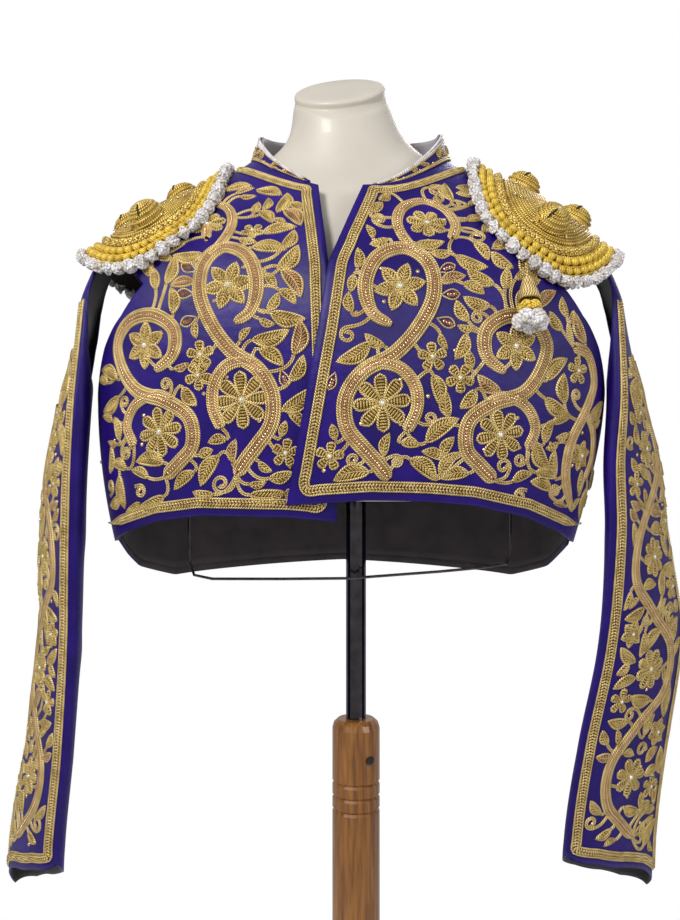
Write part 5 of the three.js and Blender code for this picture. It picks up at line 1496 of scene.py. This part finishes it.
# %% [markdown]
# ## Embroidery of the sleeves
# A serpentine scroll runs down the outer face of each sleeve to the cuff, with a flower in every
# bend and leaves between. The braid follows the front fold, the cuff and the back fold.

# %% Embroidery of the sleeves
# degrees round the sleeve, height
SLEEVE_SCROLL = [
    (82, 1188), (104, 1176), (112, 1140), (88, 1100), (62, 1060), (58, 1020), (86, 985), (114, 950),
    (116, 910), (88, 875), (62, 840), (64, 800), (86, 774), (98, 758)]
SLEEVE_FLOWERS = [
    (82, 1146, 7, 11, 7.5, .2, False), (88, 1040, 8, 11.5, 7.5, .1, False), (88, 930, 8, 12, 8, .3, False),
    (88, 822, 7, 11.5, 7.5, .1, False), (56, 1112, 5, 7.5, 6, .2, False), (118, 1074, 6, 8, 6, .2, True),
    (57, 968, 6, 8, 6, .3, True), (58, 902, 5, 7.5, 6, .2, False), (116, 862, 6, 8.5, 6.5, .2, True),
    (118, 806, 5, 7.5, 6, .2, False), (60, 760, 5, 7, 5.5, .4, False), (119, 1008, 5, 8, 6.5, .3, False),
    (66, 1180, 5, 6.5, 5.5, .2, False)]
SLEEVE_LEAVES = [
    (100, 1200, 80, 16, 7, .1, 0), (80, 1202, 100, 16, 7, -.1, 0), (66, 1150, 120, 16, 7, .1, 0),
    (62, 1130, 250, 16, 7, .1, 0), (106, 1110, 60, 16, 7, .1, 0), (104, 1094, 20, 18, 7.5, .1, 0),
    (76, 1078, 200, 20, 7.5, .1, 0), (66, 1090, 140, 14, 6, .1, 1), (104, 1060, 300, 18, 7.5, .1, 0),
    (104, 1036, 70, 14, 7, .1, 0), (70, 1012, 340, 15, 7, .1, 0), (96, 1000, 30, 20, 8, .1, 0),
    (70, 992, 200, 18, 7.5, .1, 0), (66, 940, 120, 18, 7.5, .1, 0), (70, 924, 200, 18, 7.5, -.1, 0),
    (104, 960, 120, 12, 6, .1, 1), (104, 890, 60, 15, 7, .1, 0), (96, 862, 20, 16, 7, .1, 0),
    (74, 880, 150, 18, 7, .1, 0), (74, 862, 200, 16, 7, .1, 0), (104, 834, 60, 14, 7, .1, 0),
    (104, 820, 300, 16, 7, .1, 0), (104, 780, 30, 14, 7, .1, 0), (74, 772, 200, 14, 6, .1, 0),
    (112, 752, 80, 12, 6, .1, 0), (58, 790, 110, 14, 6, .1, 0), (56, 1040, 200, 10, 6, .1, 0),
    (122, 936, 20, 12, 6, .1, 0), (122, 1130, 80, 14, 6, .1, 0), (52, 860, 120, 12, 6, .1, 0)]
SLEEVE_CURLS = [
    (70, 1165, 200, 4.4, 1, 4), (100, 1126, 320, 4.2, -1, 4), (70, 1056, 60, 4.2, 1, 4),
    (74, 1030, 250, 4.4, -1, 5), (100, 1016, 60, 4.4, -1, 5), (74, 950, 160, 4.6, 1, 5),
    (102, 924, 320, 4.2, 1, 4), (74, 906, 240, 4.6, 1, 5), (102, 846, 110, 4.4, 1, 4),
    (74, 810, 40, 4.2, 1, 4), (102, 800, 350, 4.4, 1, 5), (82, 750, 220, 4.6, -1, 6),
    (120, 1160, 60, 4.2, 1, 6), (54, 1080, 120, 4.0, -1, 4), (122, 984, 340, 4, 1, 4),
    (52, 930, 200, 4, -1, 4)]
SLEEVE_LEAVES += [(deg + 2 * (k % 3 - 1), z, (40 if deg > 90 else 140) + 30 * (k % 4), 12, 6, .1, k % 5 == 4)
                  for k, (deg, z) in enumerate((114 if k % 2 else 58, 1170 - 23 * k) for k in range(18))]
SLEEVE_LEAVES += [(90 + 14 * (-1) ** k, 1170 - 46 * k, 260 + 40 * (k % 3), 11, 5.5, .1, 0) for k in range(10)]
SLEEVE_SPARKS = [
    (92, 1160), (74, 1150), (92, 1130), (76, 1050), (100, 1048), (88, 1064), (76, 940), (100, 936), (88, 910),
    (78, 830), (98, 830), (88, 802), (60, 1000), (112, 1090), (66, 880), (110, 976), (108, 770), (70, 760),
    (60, 1140), (116, 1030), (54, 946), (120, 890)]
EDGE_TURN = 540 / 22   # degrees from a fold of the sleeve to its braid
for side in (1, -1):
    name = SIDE_NAME[side]
    degs, heights = np.linspace(-14, 204, 190), np.arange(684, 1340, 3.0)
    deg, z = np.meshgrid(degs, heights)
    board = Board(sleeve_point(side, np.mod(deg, 360) * DEG, z)[0], degs, heights, flip=side < 0)
    cuff = lambda d: np.interp(d, *CUFF) + BRAID_IN
    line = [(EDGE_TURN, z) for z in np.linspace(1285, cuff(EDGE_TURN), 60)]
    line += [(d, cuff(d)) for d in np.linspace(EDGE_TURN, 180 - EDGE_TURN, 40)[1:-1]]
    line += [(180 - EDGE_TURN, z) for z in np.linspace(cuff(180 - EDGE_TURN), 1090, 45)]
    sew_braid(board, line, f"sleeve_{name}")
    st = Stitches(board)
    turn = (lambda deg: deg * DEG) if side > 0 else (lambda deg: math.pi - deg * DEG)

    def on_face(points):
        deg, z = board.values(points)
        return bool(np.all((deg > 38) & (deg < 142) & (z > cuff(deg) + 8) & (z < 1240)))

    scroll_pattern(st, lambda points: board.at_values(*np.array(points, float).T), turn, [SLEEVE_SCROLL], [],
                   SLEEVE_FLOWERS, SLEEVE_LEAVES, SLEEVE_CURLS, [], SLEEVE_SPARKS, on_face,
                   (44, 138, 740, 1238, 10, 9, 30, 24, 19, 15), 5.4)
    st.build(f"embroidery_sleeve_{name}", [f"scroll_sleeve_{name}"])

# %% [markdown]
# ## Collar trim
# Two pale cords run along the collar's top edge and a braid of gold below, with pointed leaves
# between them.

# %% Collar trim
ends, heights = np.linspace(0, 1, 301), np.linspace(0, 1, 21)
board = Board(collar_point(*np.meshgrid(ends, heights), CLOTH), ends, heights)
st = Stitches(board)
t = np.linspace(0.01, 0.99, 260)
for up, r, mat in ((0.95, 1.3, WHITE), (0.81, 1.2, WHITE), (0.71, .8, CORD), (0.17, 1.1, CORD), (0.06, 1.1, CORD)):
    st.cord(board.at_values(t, np.full(t.shape, up)), r, mat, 0.1)
for k, t0 in enumerate(np.linspace(0.05, 0.95, 27)):
    reach = float(np.interp(min(t0, 1 - t0), [0.03, 0.2], [6, 14]))
    petal(st, board.at_values(t0, 0.30)[0], (35 if k % 2 else 140) * DEG, reach, reach * 0.48, "leaf", PURL, 0.1)
    st.dots(board.at_values(t0 + 0.012, 0.24), [(1.3, .2), (1.2, .9), (.02, 1.3)], SEQUIN, sides=7)
st.build("collar_trim", (), "gold_braid")

# %% [markdown]
# ## Hombreras
# A shoulder piece is an arched plate of card covered with gold coiled wire, with four raised domes,
# a plaited gold ring, two rows of silk-wrapped beads and a looped white cord round the edge. It
# rests on the shoulder, so wherever the arch would sink in, it is lifted to the cloth.

# %% Hombreras
ARCH, HALF_U, REST = 85, 89, CLOTH + 5.2   # radius of the arch, half length, least height over the body
PLATE_IN, CROWN = 38.6, 4.2                # from the outline to the plate, and the rise of its middle
# name, side, x and z of the middle, slope and roll in degrees and millimetres, half width
HOMBRERAS = [("left", 1, 186, 1382, 33, -17, 116), ("right", -1, -196, 1377, 29, 0, 110)]
DOMES = [(-30, .05), (30, .05), (8, -.5), (8, .5)]   # along, and across in half widths
DOME = np.array([(15.2, 1), (15.6, 4), (15.4, 8), (14.4, 12.4), (12.2, 15.6), (9, 18.2), (5, 19.8), (.6, 20.4)]
                ) * [1.1, 1.04]   # radius, height
SHOULDER_A, SHOULDER_L = np.meshgrid(np.arange(30, 151, 2) * DEG, np.arange(4.5, 10.01, 0.08))


def shoulder_piece(side, x, z, slope, roll, u, v):
    """The arched surface of a shoulder piece, lifted wherever it would sink into the body."""
    b, t = slope * DEG, (v + roll) / ARCH
    along = np.array([side * math.cos(b), 0, -math.sin(b)])
    up = np.array([side * math.sin(b), 0, math.cos(b)])
    wide = 97 - 18 * ((u - 8) / 75) ** 2
    zero = np.zeros_like(t)
    p = (np.stack([x + zero, wide * np.sin(t), z + zero], -1) + along * u[..., None]
         - up * (ARCH * (1 - np.cos(t)))[..., None])
    rest_p, rest_n = (f(side * SHOULDER_A, SHOULDER_L).reshape(-1, 3) for f in (body, body_normal))
    lifted = []
    for part in np.array_split(p.reshape(-1, 3), 24):
        near = ((part[:, None] - rest_p[None]) ** 2).sum(-1).argmin(1)
        stand = ((part - rest_p[near]) * rest_n[near]).sum(-1)
        lifted.append(part + rest_n[near] * np.maximum(REST - stand, 0)[:, None])
    return np.concatenate(lifted).reshape(p.shape)


def rim_line(half, inset, n):
    """n evenly spaced points of the outline, moved in by inset, and its length."""
    a = 2 * math.pi * np.arange(n) / n
    c, s = np.cos(a), np.sin(a)
    e = np.where(c > 0, 2 / 2.9, 2 / 2.1)
    line = np.stack([(HALF_U - inset) * power(c, e), (half - inset) * power(s, e)], -1)
    closed = np.concatenate([line, line[:1]])
    length = lengths_along(closed)
    return at_lengths(closed, length, np.linspace(0, length[-1], n, endpoint=False)), length[-1]


def ball(st, centre, r, cord_r, mat, wraps, seed, steps=36, sides=5):
    """A knot: a cord wound round a ball in three directions, with a plain ball inside."""
    angles = np.random.default_rng(seed).uniform(0, 2 * math.pi, 3)
    for k in range(3):
        t = np.linspace(0, 2 * math.pi, steps, endpoint=False)
        lat = 0.75 * np.sin(t * wraps / 2 + angles[k])
        p = np.stack([np.cos(t) * np.cos(lat), np.sin(t) * np.cos(lat), np.sin(lat)], -1) * r
        p = np.roll(p, k, axis=1)
        st.pipe(p + centre, cord_r, mat, sides=sides, closed=True, ref=unit(p))
    a, b = np.meshgrid(np.linspace(0, 2 * math.pi, 13), np.linspace(-1.45, 1.45, 7))
    core = np.stack([np.cos(a) * np.cos(b), np.sin(a) * np.cos(b), np.sin(b)], -1) * (r * .95) + centre
    st.add(core, faces_of(7, 13), core[..., :2], mat)


def level_at(flat, height):
    """Board points with a height added."""
    return np.concatenate([flat, np.broadcast_to(np.reshape(height, (-1, 1)), (len(flat), 1))], 1)


for name, side, x, z, slope, roll, half in HOMBRERAS:
    us, vs = np.linspace(-104, 104, 70), np.linspace(-132, 132, 89)
    u, v = np.meshgrid(us, vs)
    board = Board(shoulder_piece(side, x, z, slope, roll, u, v), us, vs, flip=side < 0)
    here = lambda line: board.at_values(*np.asarray(line).T)
    around = lambda inset, n: here(rim_line(half, inset, n)[0])
    # the plate: a filled crown, ridges of coiled wire following its outline, and a backing under it, dark as painted
    # shade
    plate = Stitches(board)
    outline = rim_line(half, PLATE_IN, 96)[0]
    crown = [level_at(here(outline * f), 3.2 + CROWN * (1 - f * f)) for f in np.linspace(1, 0.02, 18)]
    crown = np.array([level_at(crown[0][:, :2], -2.4)] + crown)
    quads = faces_of(len(crown), 96, ring=True)
    plate.add(crown, quads if side > 0 else quads[..., ::-1], crown[..., :2], COIL)
    for k in range(16):
        inset = PLATE_IN + 1 + 2.9 * k
        scale_in = (HALF_U - inset) / (HALF_U - PLATE_IN)
        if scale_in < 0.12:
            break
        flat = around(inset, max(24, int(2.2 * (HALF_U + half - 2 * inset) / 2.6)))
        high = 3.0 + CROWN * (1 - scale_in ** 2)
        plate.pipe(level_at(flat, high), 1.5, COIL if k % 2 else RICH, sides=5, closed=True)
    # the backing closes the gaps seen from below and is painted near black as the shade there
    backing = np.array([level_at(around(inset, 96), -3.3) for inset in (7, 18, 28, PLATE_IN)])
    plate.add(backing, faces_of(4, 96, ring=True), backing[..., :2], SHADOW_BLACK)
    spots = np.concatenate([around(44 + 5.8 * k, 10 + 2 * (6 - k))[k % 2::2] for k in range(6)])
    plate.dots(spots, [(1.6, 0), (1.5, .7), (.5, .5), (.45, 1.3), (.02, 1.5)], SEQUIN, 6.4, sides=8)
    plate.build(f"shoulder_{name}_plate", [f"hombrera_{name}_plate"], "gold_plate")
    # the domes: coiled wire wound up a turned core
    for number, (du, dv) in enumerate(DOMES):
        foot, normal = board.frame_at(here([(du, dv * half)])[0])
        first = unit(np.cross([0, 1, 0], normal))
        along = lengths_along(DOME)
        r, h = at_lengths(DOME, along, np.linspace(0, along[-1], 330)).T
        turn = np.cumsum(1.0 / np.maximum(r, 2.2))
        turn = turn / turn[-1] * 2 * math.pi * 11.5
        dome = Stitches(FreeBoard(foot, np.array([first, np.cross(normal, first), normal])))
        dome.pipe(np.stack([(r - .3) * np.cos(turn), (r - .3) * np.sin(turn), h], -1), 1.25, RICH, sides=5)
        a = 2 * math.pi * np.arange(25) / 24
        inside = DOME[:, :1] - .9
        core = np.stack([inside * np.cos(a), inside * np.sin(a), DOME[:, 1:] + 0 * a], -1)
        dome.add(core, faces_of(len(DOME), 25), core[..., :2], COIL)
        # the slit down each dome: a cord painted near black as the shade inside it
        slit = np.linspace(.98, .3, 9) * 15.6
        slit_h = np.interp(slit, DOME[::-1, 0], DOME[::-1, 1]) + 1.2
        dome.pipe(np.stack([slit * math.cos(-1.9), slit * math.sin(-1.9), slit_h], -1), 0.9, SHADOW_BLACK, sides=6)
        dome.dots([(0, 0)], [(2.3, 20.4), (2.2, 21.4), (1.2, 22.3), (.02, 22.5)], GLASS)
        dome.build(f"shoulder_{name}_dome_{number + 1}", (), "gold_plate")
    # the plait
    ring = Stitches(board)
    line, total = rim_line(half, 32.8, 240)
    flat = here(line)
    across = right_of(unit(np.roll(flat, -1, 0) - np.roll(flat, 1, 0)))
    phase = 2 * math.pi * round(total / 15) * np.arange(240) / 240
    for k in range(3):
        shift = phase + k * 2 * math.pi / 3
        strand = flat + across * (3.5 * np.sin(shift))[:, None]
        ring.pipe(level_at(strand, 2.6 + 2.0 * np.cos(2 * shift)), 2.0, RICH, sides=6, closed=True)
    for inset in (38.0, 27.6):
        ring.cord(around(inset, 160), 1.0, RICH, 0.6, closed=True)
    ring.build(f"shoulder_{name}_plait", [f"hombrera_{name}_plait"], "gold_braid")
    # two rows of silk-wrapped beads
    beads = Stitches(board)
    for inset, size in ((22.9, 4.1), (14.9, 4.0)):
        flat = around(inset, int(rim_line(half, inset, 400)[1] / 8.3))
        d = np.roll(flat, -1, 0) - np.roll(flat, 1, 0)
        profile = [(.55, -3.4), (.92, -1.6), (1.0, .6), (.92, 2.8), (.7, 4.2), (.4, 5.0)]
        beads.dots(flat, [(size * r, h) for r, h in profile] + [(.03, 5.3)], SILK, 0.2, sides=9, stretch=.98,
                   heading=np.arctan2(d[:, 1], d[:, 0]))
    for inset in (26.9, 18.9, 11.2):
        beads.cord(around(inset, 150), 1.1, SILK, 0.4, closed=True, n=3)
    beads.build(f"shoulder_{name}_beads", [f"hombrera_{name}_beads"], "yellow_silk")
    # the white cord: a chain of wound puffs
    loops = Stitches(board)
    for k, spot in enumerate(around(5.4, round(rim_line(half, 5.4, 400)[1] / 11.6))):
        ball(loops, np.array([*spot, 1.6]), 5.6 + 0.4 * math.sin(2.1 * k), 1.35, KNOT if k % 3 else WHITE, 2, 30 + k,
             17, 4)
    loops.build(f"shoulder_{name}_cord", [f"hombrera_{name}_cord"], "white_cord")

# %% [markdown]
# ## The tassel
# The small tassel under one shoulder piece is a cone wound with gold thread, a ring of yellow silk
# knots and a bunch of knotted white pompoms, hanging a little off the front.

# %% The tassel
def hung():
    """Stitches on the tassel's own axes, which lean away from the chest."""
    return Stitches(FreeBoard(np.array([150.0, -115.0, 1296.0]), turn_about_x(-22 * DEG).T))


cone = hung()
tau = np.linspace(0, 1, 420)
r = np.interp(tau, [0, .08, .2, .84, 1], [9.2, 9.6, 8.9, 4.6, 3.0])
turn = 2 * math.pi * 13 * tau
cone.pipe(np.stack([r * np.cos(turn), r * np.sin(turn), -23.4 + 23 * tau], -1), 1.0, CORD, sides=6)
a, b = np.meshgrid(np.linspace(0, 2 * math.pi, 21), np.linspace(0, 1, 8))
r = np.interp(b, [0, .2, .84, 1], [9.2, 8.6, 4.3, 2.0])
wall = np.stack([r * np.cos(a), r * np.sin(a), -23.6 + 23 * b], -1)
cone.add(wall, faces_of(8, 21), wall[..., :2], PURL)
neck = np.linspace(0, 1, 30)
for k in range(2):
    q = 2 * math.pi * 3 * neck + k * math.pi
    cone.pipe(np.stack([.9 * np.cos(q), .9 * np.sin(q), -1 + 17 * neck], -1), 0.95, CORD, sides=6)
cone.build("tassel_top", ["tassel_cone"], "gold_braid")
knots = hung()
for k in range(5):
    a = 2 * math.pi * (k + .5) / 5
    ball(knots, np.array([6.2 * math.sin(a), -5.0 * math.cos(a), -29.8]), 4.3, 1.2, SILK, 4, k)
knots.build("tassel_yellow_knots", ["tassel_knots"], "yellow_silk")
puffs = hung()
for k in range(5):
    a = 2 * math.pi * (k + .5) / 5
    ball(puffs, np.array([9 * math.sin(a), -7.2 * math.cos(a), -43.0]), 6.6, 1.9, KNOT, 4, 10 + k)
puffs.build("tassel_white_puffs", ["tassel_pompoms"], "white_cord")
